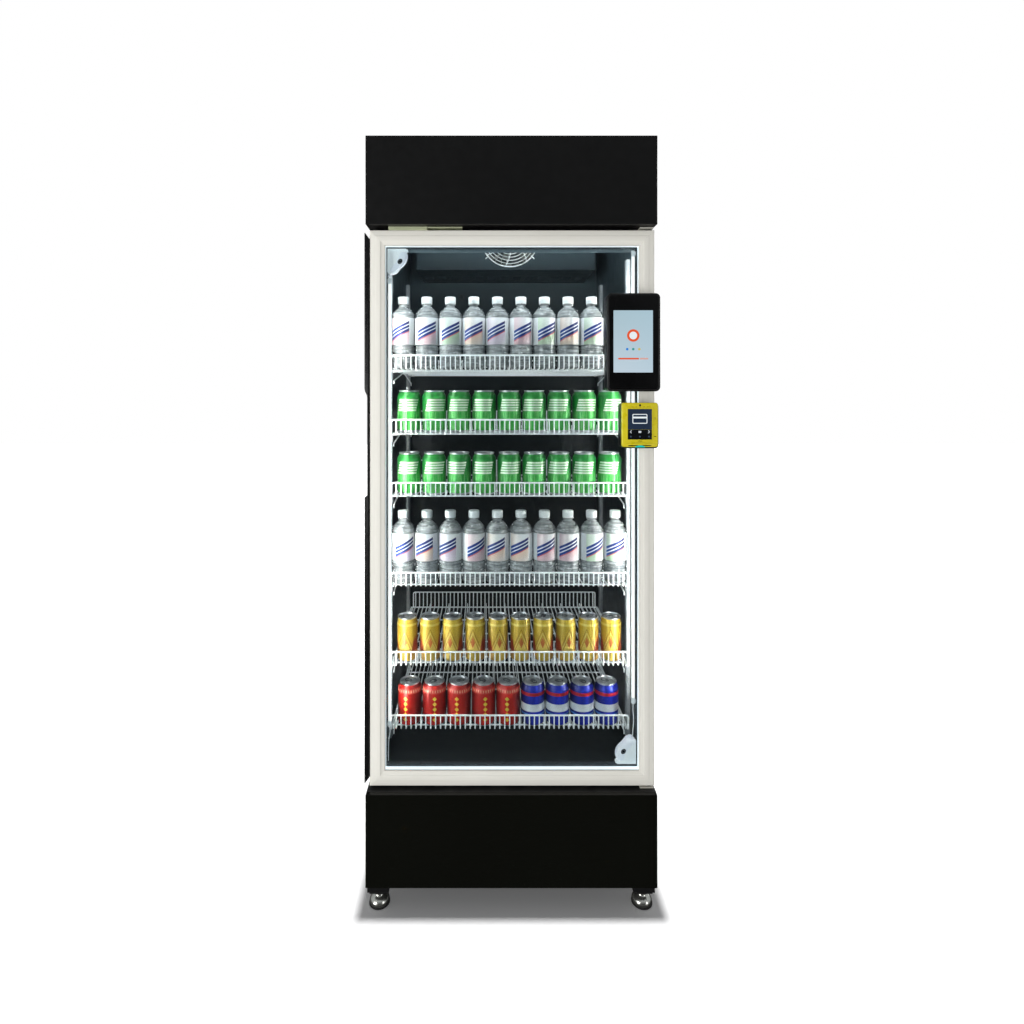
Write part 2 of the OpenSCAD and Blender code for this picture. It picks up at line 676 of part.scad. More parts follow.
// ---------------------------------------------------------------- door
// section of a frame member: x runs from the outer edge inward, y from the front backward
module frame_section() difference() {
  intersection() {
    square([stile, door_t]);
    union() { // rounded front
      translate([stile / 2, 38]) circle(r = 38);
      translate([0, 7]) square([stile, door_t - 7]);
    }
  }
  // glass slot, then gasket groove
  translate([stile - 12, glass_y0 - door_y0]) square([13, glass_y1 - glass_y0]);
  translate([22.6, door_t - 4]) square([6.8, 5]);
}

// mitred regions that trim the members; inward is 1 or -1, from the door's edge to its middle
mitre_out = 6;         // reach beyond the door's edge
mitre_in = stile + 6;  // reach inside it
module mitre(points)
  translate([0, door_y1 + 5, 0]) rotate([90, 0, 0]) linear_extrude(door_t + 10) polygon(points);
module upright_mitre(edge_x, inward) {
  outer = edge_x - inward * mitre_out;
  inner = edge_x + inward * mitre_in;
  mitre([
    [outer, door_z0 - mitre_out + mitre_gap], [inner, door_z0 + mitre_in + mitre_gap],
    [inner, door_z1 - mitre_in - mitre_gap], [outer, door_z1 + mitre_out - mitre_gap]]);
}
module level_mitre(edge_z, inward) {
  outer = edge_z - inward * (mitre_out + mitre_gap);
  inner = edge_z + inward * (mitre_in - mitre_gap);
  mitre([
    [door_x0 - mitre_out, outer], [door_x0 + mitre_in, inner],
    [door_x1 - mitre_in, inner], [door_x1 + mitre_out, outer]]);
}

module door_frame() color("#dcdcd6") difference() {
  union() {
    intersection() { // left
      translate([door_x0, door_y0, door_z0]) linear_extrude(door_z1 - door_z0) frame_section();
      upright_mitre(door_x0, 1);
    }
    intersection() { // right
      translate([door_x1, door_y0, door_z0]) linear_extrude(door_z1 - door_z0)
        mirror([1, 0]) frame_section();
      upright_mitre(door_x1, -1);
    }
    intersection() { // bottom
      translate([door_x0, door_y0, door_z0]) rotate([90, 0, 90])
        linear_extrude(door_x1 - door_x0) mirror([1, -1]) frame_section();
      level_mitre(door_z0, 1);
    }
    intersection() { // top
      translate([door_x0, door_y0, door_z1]) rotate([90, 0, 90])
        linear_extrude(door_x1 - door_x0) mirror([0, 1]) mirror([1, -1]) frame_section();
      level_mitre(door_z1, -1);
    }
  }
  for (end = door_ends) hinge_cyl(end, -1, 28.5, bush_r + gap);
}

glass_edge = 10; // how far the glass runs into the frame

module insulating_glass() color("#cfe0e6", 0.3) {
  for (y = [glass_y0, glass_y1 - pane_t])
    box3(glass_x0 - glass_edge, glass_x1 + glass_edge, y + 0.02, y + pane_t - 0.02,
      glass_z0 - glass_edge, glass_z1 + glass_edge);
}

// flat ring that follows the door outline, inset from its edge
module door_ring(inset, width) difference() {
  for_hole = inset + width;
  translate([door_x0 + inset, door_z0 + inset])
    square([door_x1 - door_x0 - 2 * inset, door_z1 - door_z0 - 2 * inset]);
  translate([door_x0 + for_hole, door_z0 + for_hole])
    square([door_x1 - door_x0 - 2 * for_hole, door_z1 - door_z0 - 2 * for_hole]);
}
module glass_spacer() color("#9aa4a8")
  xz_plate(glass_y0 + pane_t, glass_y1 - pane_t) door_ring(stile - glass_edge, glass_edge - 1);
module door_gasket() color("#5b6064") union() {
  xz_plate(door_y1 + 1, body_y - 0.3) door_ring(20, 13);
  xz_plate(door_y1 - 3, door_y1 + 2) door_ring(23, 6);
}

module door_handle() color("#141414") difference() {
  xz_plate(door_y0 + 2, door_y1 - 3) difference() {
    polygon([
      [door_x0 - gap, door_z0 + 24], [door_x0 - 12.5, door_z0 + 7],
      [door_x0 - 12.5, door_z1 - 6], [door_x0 - gap, door_z1 - 23]]);
    rrect(door_x0 - 30, grip_z0, door_x0 - 5.5, grip_z1, 5.5);
  }
  // finger channel along the back of the outer lip
  box3(door_x0 - 9, door_x0 - 3.5, door_y1 - 14, door_y1, door_z0 + 60, door_z1 - 60);
}

// lamp tubes beside the stiles, behind the glass: side, lower end, upper end
lamps = [[-1, 449, 1631], [1, 510, 1703]];
lamp_y = door_y1 - 3;
lamp_inset = 5.5; // tube axis from the stile
cap_l = 15.95;
function lamp_x(side) = side < 0 ? glass_x0 + lamp_inset : glass_x1 - lamp_inset;

module led_tubes() color("#ffffff")
  for (p = lamps) zcyl(lamp_x(p[0]), lamp_y, p[1] + 16, p[2] - 16, 4.4);
module led_end_caps() color("#e6e8e8") for (p = lamps, z = [p[1], p[2] - cap_l]) union() {
  x = lamp_x(p[0]);
  zcyl(x, lamp_y, z, z + cap_l, 5.2);
  side_box(x, x + p[0] * lamp_inset, lamp_y - 5, door_y1 - 0.5, z + 3, z + 13);
}

// corner camera outline [x, z], for the lower right corner, with its corner at the origin
camera_outline = [
  [0, 0], [-50, 0], [-57, 8], [-57, 32], [-51, 43],
  [-38, 54], [-27, 67], [-18, 73], [-3, 74], [0, 66]];
lens_at = 37;       // lens centre from both edges
camera_inset = 1.5; // from the corner of the glass opening

module camera_body() difference() {
  xz_plate(glass_y1 + 0.1, glass_y1 + 27) polygon(camera_outline);
  ycyl(-lens_at, lens_at, glass_y1 - 1, glass_y1 + 5, 9.2);
}
module lower_right() translate([glass_x1 - camera_inset, 0, glass_z0 + camera_inset]) children();
module upper_left() translate([glass_x0 + camera_inset, 0, glass_z1 - camera_inset]) children();

module door_cameras() color("#f4f6f6") {
  lower_right() camera_body();
  upper_left() rotate([0, 180, 0]) camera_body();
  // lenses
  color("#1b1d1f") lower_right() ycyl(-lens_at, lens_at, glass_y1 + 0.3, glass_y1 + 4.9, 9);
  color("#1b1d1f") upper_left() ycyl(lens_at, -lens_at, glass_y1 + 0.3, glass_y1 + 4.9, 9);
}

// ---------------------------------------------------------------- payment terminal
// touchscreen outline
screen_x0 = half_w - 133;
screen_x1 = half_w;
screen_z0 = 1332;
screen_z1 = 1577;

module screen_plate(inset, r, y0, y1) xz_plate(y0, y1)
  rrect(screen_x0 + inset, screen_z0 + inset, screen_x1 - inset, screen_z1 - inset, r);

module screen_bracket() color("#303234") difference() {
  box3(glass_x1 + 6, half_w - 4, door_y0 - 6, door_y0 - 0.02, screen_z0 + 45, screen_z1 - 45);
  for (z = [screen_z0 + 65, screen_z1 - 65])
    ycyl((glass_x1 + half_w) / 2, z, door_y0 - 7, door_y0 + 1, 3);
}
module screen_housing() color("#0d0d0e") difference() {
  screen_plate(0, 12, door_y0 - 46, door_y0 - 6 - gap);
  screen_plate(6, 8, door_y0 - 47, door_y0 - 44);
  box3(screen_x0 + 20, screen_x1 - 20, door_y0 - 38, door_y0 - 5, screen_z0 + 20, screen_z1 - 20);
}
module screen_panel() color("#a9c4d2") union()
  screen_plate(6.4, 7.6, door_y0 - 45.6, door_y0 - 44 - gap);

// card reader outline
reader_x0 = 272;
reader_x1 = 366;
reader_z0 = 1190;
reader_z1 = 1304;

module reader_body() color("#15130f") difference() {
  xz_plate(door_y0 - 42, door_y0 - gap)
    rrect(reader_x0 + 2, reader_z0, reader_x1, reader_z1 - 2, 8);
  box3(reader_x0 + 14, glass_x1 - 4, door_y0 - 30, door_y0 + 1, reader_z0 + 12, reader_z1 - 14);
}

// display window in the bezel, shrunk by inset
module reader_window(inset, y0, y1)
  box3(286.5 + inset, 346.5 - inset, y0, y1, 1214.5 + inset, 1288 - inset);

module reader_bezel() color("#dcd02c") difference() {
  xz_plate(door_y0 - 54, door_y0 - 42 - gap)
    rrect(reader_x0, reader_z0 + 4, reader_x1 - 4, reader_z1, 6);
  reader_window(0, door_y0 - 55, door_y0 - 50);
  // card slot along the lower edge
  box3(288, 345, door_y0 - 55, door_y0 - 46, 1195, 1198);
  // round recess above the window
  ycyl(317, 1297, door_y0 - 55, door_y0 - 51, 2.4);
}
module reader_screen() color("#10151c") reader_window(0.3, door_y0 - 53.6, door_y0 - 50 - gap);

// ---------------------------------------------------------------- output
outer_shell();
insulation_foam();
inner_liner();
breaker_frame();
rear_grille();
header_shell();
header_electronics();
base_frame();
foot_bosses();
compressor();
condenser_coil();
condenser_fan_shroud();
drip_tray();
refrigerant_pipes();
evaporator_cover();
evaporator_coil();
evaporator_fan_guard();
evaporator_fan_motor();
shelf_pilasters();
shelf_clips();
shelf_1();
shelf_2();
shelf_3();
shelf_4();
shelf_5();
shelf_6();
lane_dividers();
led_tubes();
led_end_caps();
top_hinge_bracket();
bottom_hinge_bracket();
maglock();
panel_screws();
mains_inlet();
bottles();
cans_green();
cans_gold();
cans_red();
cans_blue();
evaporator_fan_blade();
condenser_fan_blade();
foot_front_left();
foot_front_right();
foot_rear_left();
foot_rear_right();
base_front_panel();
door_frame();
insulating_glass();
glass_spacer();
door_gasket();
door_handle();
hinge_bushes();
armature_plate();
door_cameras();
screen_bracket();
screen_housing();
screen_panel();
reader_body();
reader_bezel();
reader_screen();
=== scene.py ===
import json
import math
import random
import bpy
import bmesh
from mathutils import Vector, Matrix

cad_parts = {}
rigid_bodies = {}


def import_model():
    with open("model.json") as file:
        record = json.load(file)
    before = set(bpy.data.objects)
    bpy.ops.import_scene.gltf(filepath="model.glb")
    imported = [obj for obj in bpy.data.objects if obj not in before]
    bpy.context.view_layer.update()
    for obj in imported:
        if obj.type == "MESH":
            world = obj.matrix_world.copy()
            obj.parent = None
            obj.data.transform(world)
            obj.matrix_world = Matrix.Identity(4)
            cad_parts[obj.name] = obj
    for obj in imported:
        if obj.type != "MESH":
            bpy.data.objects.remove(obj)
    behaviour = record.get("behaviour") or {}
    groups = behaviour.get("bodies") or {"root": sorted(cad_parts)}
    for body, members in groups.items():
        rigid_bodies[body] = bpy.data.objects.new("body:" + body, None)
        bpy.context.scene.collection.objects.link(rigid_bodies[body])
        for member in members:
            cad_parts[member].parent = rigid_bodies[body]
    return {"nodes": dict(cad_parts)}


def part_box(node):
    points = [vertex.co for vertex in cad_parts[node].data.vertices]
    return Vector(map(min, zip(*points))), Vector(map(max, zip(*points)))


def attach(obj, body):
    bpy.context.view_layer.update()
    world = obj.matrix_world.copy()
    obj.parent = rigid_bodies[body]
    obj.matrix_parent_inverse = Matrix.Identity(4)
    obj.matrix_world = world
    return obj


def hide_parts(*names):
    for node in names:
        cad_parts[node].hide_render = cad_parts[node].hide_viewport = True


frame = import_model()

MM = 0.001
SC = bpy.context.scene
NODES = frame["nodes"]
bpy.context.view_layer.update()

# ------------------------------------------------------------------ sizes, mm, from the CAD frame
def bx(node):
    lo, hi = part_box(node)
    return [v * 1000 for v in lo], [v * 1000 for v in hi]

HW, YF, YC = 370.0, -340.0, -262.0
BASE_TOP, HEAD_BOT, TOP = 310.0, 1756.0, 1980.0
(dlo, dhi) = bx("door_frame")
DX0, DX1, DZ0, DZ1 = dlo[0], dhi[0], dlo[2], dhi[2]
YD0, YD1 = -320.0, -275.0
STILE = 41.0
GX0, GX1, GZ0, GZ1 = DX0 + STILE, DX1 - STILE, DZ0 + STILE, DZ1 - STILE
GY0, GY1 = -311.0, -293.0
SHELF_Z = [1396, 1221, 1050, 806, 591, 419]
SHELF_Y0 = YC + 27
ROW_Y = SHELF_Y0 + 38


def spread(n, half):
    return [-half + i * 2 * half / (n - 1) for i in range(n)]


X_CAN, X_SLIM, X_BOT = spread(9, 277), spread(10, 282), spread(10, 293.4)
X_LOW = [x - 3 for x in spread(9, 272)]

# ------------------------------------------------------------------ node helpers


def C(r, g, b, a=1.0):
    def f(v):
        v /= 255.0
        return v / 12.92 if v <= 0.04045 else ((v + 0.055) / 1.055) ** 2.4
    return (f(r), f(g), f(b), a)


class G:
    """Small builder for a material's nodes."""

    def __init__(self, name):
        self.m = bpy.data.materials.new(name)
        self.m.use_nodes = True
        self.t = self.m.node_tree
        self.t.nodes.clear()
        self.out = self.t.nodes.new("ShaderNodeOutputMaterial")
        self._obj = None

    def n(self, kind, **kw):
        x = self.t.nodes.new(kind)
        for k, v in kw.items():
            setattr(x, k, v)
        return x

    def put(self, sock, v):
        if isinstance(v, bpy.types.NodeSocket):
            self.t.links.new(v, sock)
        elif v is not None:
            sock.default_value = v

    def math(self, op, a, b=0.0, clamp=False):
        x = self.n("ShaderNodeMath", operation=op, use_clamp=clamp)
        self.put(x.inputs[0], a)
        self.put(x.inputs[1], b)
        return x.outputs[0]

    def add(self, a, b): return self.math("ADD", a, b)
    def sub(self, a, b): return self.math("SUBTRACT", a, b)
    def mul(self, a, b): return self.math("MULTIPLY", a, b)
    def inv(self, a): return self.math("SUBTRACT", 1.0, a)
    def abs(self, a): return self.math("ABSOLUTE", a)
    def mn(self, a, b): return self.math("MINIMUM", a, b)
    def mx(self, a, b): return self.math("MAXIMUM", a, b)

    def step(self, x, edge, soft=0.004):
        """0 below the edge, 1 above it."""
        return self.math("ADD", self.math("DIVIDE", self.sub(x, edge), soft), 0.5, clamp=True)

    def band(self, x, lo, hi, soft=0.004):
        return self.mul(self.step(x, lo, soft), self.inv(self.step(x, hi, soft)))

    def mix(self, f, a, b):
        x = self.n("ShaderNodeMix", data_type="RGBA")
        self.put(x.inputs[0], f)
        self.put(x.inputs[6], a)
        self.put(x.inputs[7], b)
        return x.outputs[2]

    def coord(self, kind="Object"):
        if self._obj is None:
            self._obj = self.n("ShaderNodeTexCoord")
        return self._obj.outputs[kind]

    def mapping(self, vec, scale=(1, 1, 1)):
        x = self.n("ShaderNodeMapping")
        self.put(x.inputs["Vector"], vec)
        x.inputs["Scale"].default_value = scale
        return x.outputs[0]

    def noise(self, scale, detail=3.0, rough=0.5, vec=None, stretch=None):
        v = vec if vec is not None else self.coord()
        if stretch:
            v = self.mapping(v, stretch)
        x = self.n("ShaderNodeTexNoise")
        self.put(x.inputs["Vector"], v)
        x.inputs["Scale"].default_value = scale
        x.inputs["Detail"].default_value = detail
        x.inputs["Roughness"].default_value = rough
        return x.outputs[0]

    def xyz(self, vec=None):
        x = self.n("ShaderNodeSeparateXYZ")
        self.put(x.inputs[0], vec if vec is not None else self.coord())
        return x.outputs

    def rng(self, x, a, b, c, d):
        r = self.n("ShaderNodeMapRange")
        self.put(r.inputs[0], x)
        for i, v in enumerate((a, b, c, d)):
            self.put(r.inputs[i + 1], v)
        return r.outputs[0]

    def bump(self, h, strength=0.2, dist=0.0005, normal=None):
        x = self.n("ShaderNodeBump")
        x.inputs["Strength"].default_value = strength
        x.inputs["Distance"].default_value = dist
        self.put(x.inputs["Height"], h)
        if normal is not None:
            self.put(x.inputs["Normal"], normal)
        return x.outputs[0]

    def bsdf(self, **kw):
        x = self.n("ShaderNodeBsdfPrincipled")
        names = {"color": "Base Color", "rough": "Roughness", "metal": "Metallic", "ior": "IOR", "spec": "Specular IOR Level",
                 "trans": "Transmission Weight", "coat": "Coat Weight", "coat_rough": "Coat Roughness", "normal": "Normal",
                 "emis": "Emission Color", "estr": "Emission Strength", "alpha": "Alpha", "aniso": "Anisotropic",
                 "sheen": "Sheen Weight"}
        for k, v in kw.items():
            self.put(x.inputs[names[k]], v)
        return x.outputs[0]

    def done(self, shader):
        self.t.links.new(shader, self.out.inputs["Surface"])
        return self.m


def simple(name, col, rough=0.4, metal=0.0, spec=0.5, cvar=0.08, cscale=18, rvar=0.08, rscale=45, bump=0.06, bscale=700,
           bdist=0.0003, stretch=None, coat=0.0, coat_rough=0.1, fine=0.0, emis=None, estr=0.0, dust=0.0):
    """A base material with varied colour, varied roughness and fine relief."""
    g = G(name)
    big = g.noise(cscale, 4)
    dark = tuple(c * (1 - cvar) for c in col[:3]) + (1,)
    light = tuple(min(1, c * (1 + cvar)) for c in col[:3]) + (1,)
    color = g.mix(g.rng(big, 0.3, 0.7, 0, 1), dark, light)
    if fine:
        f = g.noise(bscale * 0.8, 2, stretch=stretch)
        color = g.mix(g.mul(g.rng(f, 0.35, 0.65, 0, 1), fine), color, tuple(min(1, c * 1.6 + 0.01) for c in col[:3]) + (1,))
    if dust:
        z = g.xyz(g.n("ShaderNodeNewGeometry").outputs["Normal"])[2]
        d = g.mul(g.step(z, 0.7, 0.4), g.rng(g.noise(30, 5), 0.4, 0.75, 0, dust))
        color = g.mix(d, color, C(150, 148, 142))
    r = g.rng(g.noise(rscale, 5), 0.25, 0.75, max(0.02, rough - rvar), min(1, rough + rvar))
    h = g.noise(bscale, 3, stretch=stretch)
    nrm = g.bump(h, bump, bdist)
    kw = dict(color=color, rough=r, metal=metal, spec=spec, normal=nrm, coat=coat, coat_rough=coat_rough)
    if emis is not None:
        kw["emis"] = emis
        kw["estr"] = estr
    return g.done(g.bsdf(**kw))


# ------------------------------------------------------------------ materials
MAT = {}
MAT["black_sheet"] = simple("mat_black_sheet", C(15, 15, 15), 0.36, spec=0.22, bump=0.05, bscale=900, cvar=0.12, cscale=4, rvar=0.05, dust=0.04)
MAT["black_side"] = simple("mat_black_side", C(20, 20, 21), 0.40, spec=0.25, bump=0.06, bscale=900, cvar=0.10, cscale=4, rvar=0.05, dust=0.04)
MAT["gloss_base"] = simple("mat_gloss_base", C(11, 12, 8), 0.22, spec=0.16, bump=0.03, bscale=700, cvar=0.10, cscale=3, rvar=0.05)
def painted_light_sheet(name, low, high, z0, z1, rough, spec):
    """Sheet with painted light: its tone rises with height, as the light from the lamps' ends does."""
    g = G(name)
    f = g.rng(g.xyz()[2], z0, z1, 0.0, 1.0)
    col = g.mix(f, low, high)
    col = g.mix(g.mul(g.rng(g.noise(5, 3), 0.3, 0.7, 0, 1), 0.10), col, C(10, 12, 13))
    r = g.rng(g.noise(40, 3), 0.3, 0.7, rough - 0.04, rough + 0.04)
    return g.done(g.bsdf(color=col, rough=r, spec=spec, normal=g.bump(g.noise(800, 3), 0.05, 0.0004)))


# liner and evaporator cover: painted light, darker low down and lighter towards the top
MAT["liner"] = painted_light_sheet("mat_liner", C(28, 34, 36), C(72, 85, 91), 1.60, 1.82, 0.38, 0.30)
MAT["cover"] = painted_light_sheet("mat_cover", C(50, 60, 65), C(84, 97, 103), 1.726, 1.80, 0.36, 0.35)
MAT["dark_plastic"] = simple("mat_dark_plastic", C(40, 46, 49), 0.5, bump=0.12, bscale=1400, cvar=0.06)
MAT["black_plastic"] = simple("mat_black_plastic", C(17, 17, 18), 0.45, spec=0.3, bump=0.14, bscale=1800, cvar=0.10)
MAT["handle"] = simple("mat_handle", C(13, 13, 14), 0.30, spec=0.35, bump=0.05, bscale=500, stretch=(1, 1, 0.02), cvar=0.10)
MAT["grey_plastic"] = simple("mat_grey_plastic", C(70, 74, 78), 0.5, bump=0.12, bscale=1500)
MAT["foam"] = simple("mat_foam", C(226, 210, 150), 0.9, spec=0.2, bump=0.5, bscale=420, bdist=0.0012, cvar=0.12)
MAT["gasket"] = simple("mat_gasket", C(70, 74, 76), 0.62, spec=0.3, bump=0.15, bscale=900, cvar=0.1)
MAT["hinge_steel"] = simple("mat_hinge_steel", C(214, 212, 200), 0.34, metal=0.35, bump=0.08, bscale=600, stretch=(0.05, 1, 1), cvar=0.06)
MAT["steel"] = simple("mat_steel", C(176, 178, 180), 0.32, metal=1.0, bump=0.10, bscale=600, stretch=(1, 1, 0.05), cvar=0.08)
MAT["screw"] = simple("mat_screw", C(60, 60, 62), 0.35, metal=0.9, bump=0.15, bscale=1200)
MAT["lock"] = simple("mat_lock", C(196, 202, 168), 0.36, metal=0.35, bump=0.08, bscale=700, stretch=(0.05, 1, 1), cvar=0.08)
MAT["alu_fin"] = simple("mat_alu_fin", C(188, 190, 192), 0.38, metal=1.0, bump=0.12, bscale=500, stretch=(1, 0.1, 1), cvar=0.1)
MAT["copper"] = simple("mat_copper", C(196, 118, 78), 0.30, metal=1.0, bump=0.10, bscale=300, cvar=0.2, cscale=30)
MAT["compressor"] = simple("mat_compressor", C(18, 18, 19), 0.28, spec=0.5, bump=0.12, bscale=500, cvar=0.15, dust=0.15)
MAT["pilaster"] = simple("mat_pilaster", C(168, 172, 176), 0.38, metal=0.2, bump=0.07, bscale=700, stretch=(1, 1, 0.05))
# painted glow: the white wire gives off light of its own, though it is no lamp
MAT["white_wire"] = simple("mat_white_wire", C(244, 246, 246), 0.30, spec=0.4, bump=0.08, bscale=900, cvar=0.03, rvar=0.06, emis=C(240, 244, 246), estr=0.16)
# painted glow: the camera pods' plastic gives off light of its own, though it is no lamp
MAT["pod_plastic_painted_glow"] = simple("mat_pod_plastic", C(206, 210, 216), 0.38, spec=0.4, bump=0.08, bscale=1500, cvar=0.03, emis=C(220, 224, 232), estr=0.48)
# painted glow: the white plastic gives off light of its own, though it is no lamp
MAT["white_plastic"] = simple("mat_white_plastic", C(246, 248, 249), 0.35, spec=0.4, bump=0.06, bscale=1500, cvar=0.02, emis=C(244, 247, 250), estr=0.22)
# painted glow: the glass spacer gives off light, standing in for the edge-lit glass
MAT["spacer"] = simple("mat_spacer_painted_glow", C(206, 214, 218), 0.38, metal=0.2, bump=0.10, bscale=900, emis=C(200, 210, 214), estr=1.6)
MAT["gloss_plastic"] = simple("mat_gloss_plastic", C(12, 12, 13), 0.16, spec=0.4, bump=0.03, bscale=900, cvar=0.12)
MAT["satin_black"] = simple("mat_satin_black", C(14, 14, 15), 0.34, spec=0.35, bump=0.10, bscale=2200, cvar=0.10)
MAT["yellow"] = simple("mat_yellow", C(212, 197, 34), 0.30, spec=0.35, bump=0.05, bscale=1200, cvar=0.05)
MAT["foot_chrome"] = simple("mat_foot_chrome", C(184, 184, 178), 0.22, metal=0.92, spec=0.8, bump=0.03, bscale=300, cvar=0.04, rvar=0.04)
MAT["chrome"] = simple("mat_chrome", C(214, 216, 218), 0.09, metal=1.0, bump=0.03, bscale=300, cvar=0.04, rvar=0.04)
MAT["rubber"] = simple("mat_rubber", C(24, 24, 24), 0.75, spec=0.3, bump=0.25, bscale=900, cvar=0.15)
MAT["can_metal"] = simple("mat_can_metal", C(206, 208, 211), 0.34, metal=0.8, bump=0.04, bscale=900, stretch=(1, 0.12, 1), cvar=0.08)
MAT["can_tab"] = simple("mat_can_tab", C(140, 142, 145), 0.34, metal=0.9, bump=0.06, bscale=900, cvar=0.08)
MAT["cap"] = simple("mat_cap", C(238, 241, 242), 0.34, spec=0.5, bump=0.08, bscale=1100, cvar=0.03)
MAT["lens"] = simple("mat_lens", C(14, 14, 18), 0.10, spec=0.7, bump=0.02, bscale=900, cvar=0.3)
MAT["electronics"] = simple("mat_electronics", C(150, 154, 158), 0.4, metal=0.8, bump=0.12, bscale=900, stretch=(1, 1, 0.1))


def frame_material(name, along):
    """Pale satin-anodised profile, with faint lines along its length."""
    g = G(name)
    st = (1, 1, 0.015) if along == "z" else (0.015, 1, 1)
    lines = g.noise(1500, 2, stretch=st)
    big = g.noise(3, 3)
    col = g.mix(g.rng(lines, 0.35, 0.65, 0, 1), C(228, 226, 217), C(234, 232, 224))
    col = g.mix(g.mul(g.rng(big, 0.3, 0.7, 0, 1), 0.35), col, C(220, 217, 206))
    r = g.rng(g.noise(60, 4), 0.25, 0.75, 0.42, 0.52)
    h = g.add(g.mul(lines, 0.6), g.mul(g.noise(2400, 2), 0.4))
    return g.done(g.bsdf(color=col, rough=r, metal=0.0, spec=0.16, normal=g.bump(h, 0.06, 0.0002)))


MAT["frame_z"] = frame_material("mat_frame_upright", "z")
MAT["frame_x"] = frame_material("mat_frame_level", "x")


def glass_material():
    g = G("mat_glass")
    fr = g.n("ShaderNodeFresnel")
    fr.inputs["IOR"].default_value = 1.45
    smear = g.rng(g.noise(7, 5, stretch=(1, 1, 0.5)), 0.35, 0.8, 0.0, 1.0)
    gl = g.n("ShaderNodeBsdfGlossy")
    gl.inputs["Color"].default_value = C(226, 236, 246)
    g.put(gl.inputs["Roughness"], g.rng(smear, 0, 1, 0.015, 0.09))
    tr = g.n("ShaderNodeBsdfTransparent")
    g.put(tr.inputs["Color"], g.mix(smear, C(251, 253, 253), C(249, 252, 253)))
    mixn = g.n("ShaderNodeMixShader")
    g.put(mixn.inputs[0], g.math("MULTIPLY", fr.outputs[0], 0.40, clamp=True))
    g.put(mixn.inputs[1], tr.outputs[0])
    g.put(mixn.inputs[2], gl.outputs[0])
    return g.done(mixn.outputs[0])


MAT["glass"] = glass_material()


def lamp_material():
    g = G("mat_lamp")
    z = g.xyz()[2]
    dots = g.math("SINE", g.mul(z, 2 * math.pi / 0.012))
    glow = g.rng(dots, -1, 1, 0.92, 1.0)
    lp = g.n("ShaderNodeLightPath")
    # softer to the eye than it is as a lamp
    k = g.math("ADD", g.mul(lp.outputs["Is Camera Ray"], -54.0), 55.0)
    return g.done(g.bsdf(color=C(245, 248, 250), rough=0.4, emis=C(255, 251, 246), estr=g.mul(glow, k)))


MAT["lamp"] = lamp_material()


def glow_material(name, col, strength=1.0, var=0.04):
    g = G(name)
    n = g.noise(60, 2)
    c = g.mix(g.rng(n, 0.3, 0.7, 0, 1), tuple(v * (1 - var) for v in col[:3]) + (1,), col)
    return g.done(g.bsdf(color=(0.01, 0.01, 0.01, 1), rough=0.12, emis=c, estr=strength))


def display_material():
    """Backlit panel: cool grey-blue with a slow gradient and a faint pixel grid."""
    g = G("mat_display")
    o = g.xyz()
    v = g.rng(o[2], 1.379, 1.534, 0, 1)
    u = g.rng(o[0], 0.2526, 0.3506, 0, 1)
    c = g.mix(v, C(196, 214, 226), C(172, 198, 208))
    c = g.mix(g.mul(g.step(g.add(u, g.mul(v, 0.5)), 0.9, 1.3), 0.5), c, C(176, 206, 222))
    grid = g.mul(g.math("SINE", g.mul(o[0], 2 * math.pi / 0.0006)), g.math("SINE", g.mul(o[2], 2 * math.pi / 0.0006)))
    c = g.mix(g.rng(grid, -1, 1, 0.0, 0.05), c, C(120, 150, 170))
    ring = g.band(g.math("SQRT", g.add(g.math("POWER", g.mul(g.sub(o[0], 0.3025), 0.45), 2), g.math("POWER", g.sub(o[2], 1.420), 2))), 0.0135, 0.0142, 0.0004)
    c = g.mix(g.mul(g.mul(ring, g.inv(g.step(o[2], 1.418, 0.002))), 0.35), c, C(224, 236, 244))
    return g.done(g.bsdf(color=(0.02, 0.02, 0.02, 1), rough=0.10, emis=c, estr=0.92))


MAT["display"] = display_material()
MAT["panel_glass"] = simple("mat_panel_glass", C(9, 9, 10), 0.08, spec=0.4, bump=0.0, cvar=0.2, rvar=0.03)
MAT["reader_lcd"] = glow_material("mat_reader_lcd", C(24, 42, 66), 0.9, 0.15)
MAT["reader_keys"] = simple("mat_reader_keys", C(12, 14, 18), 0.12, spec=0.4, cvar=0.2)
for nm, col in {"g_orange": C(232, 88, 44), "g_blue": C(40, 132, 222), "g_teal": C(66, 156, 152), "g_yellow": C(206, 190, 110),
                "g_dark": C(58, 74, 92), "g_white": C(236, 244, 248), "g_slot": C(30, 206, 190), "g_key": C(214, 222, 228),
                "g_faint": C(222, 168, 158)}.items():
    MAT[nm] = glow_material("mat_" + nm, col, 0.95)
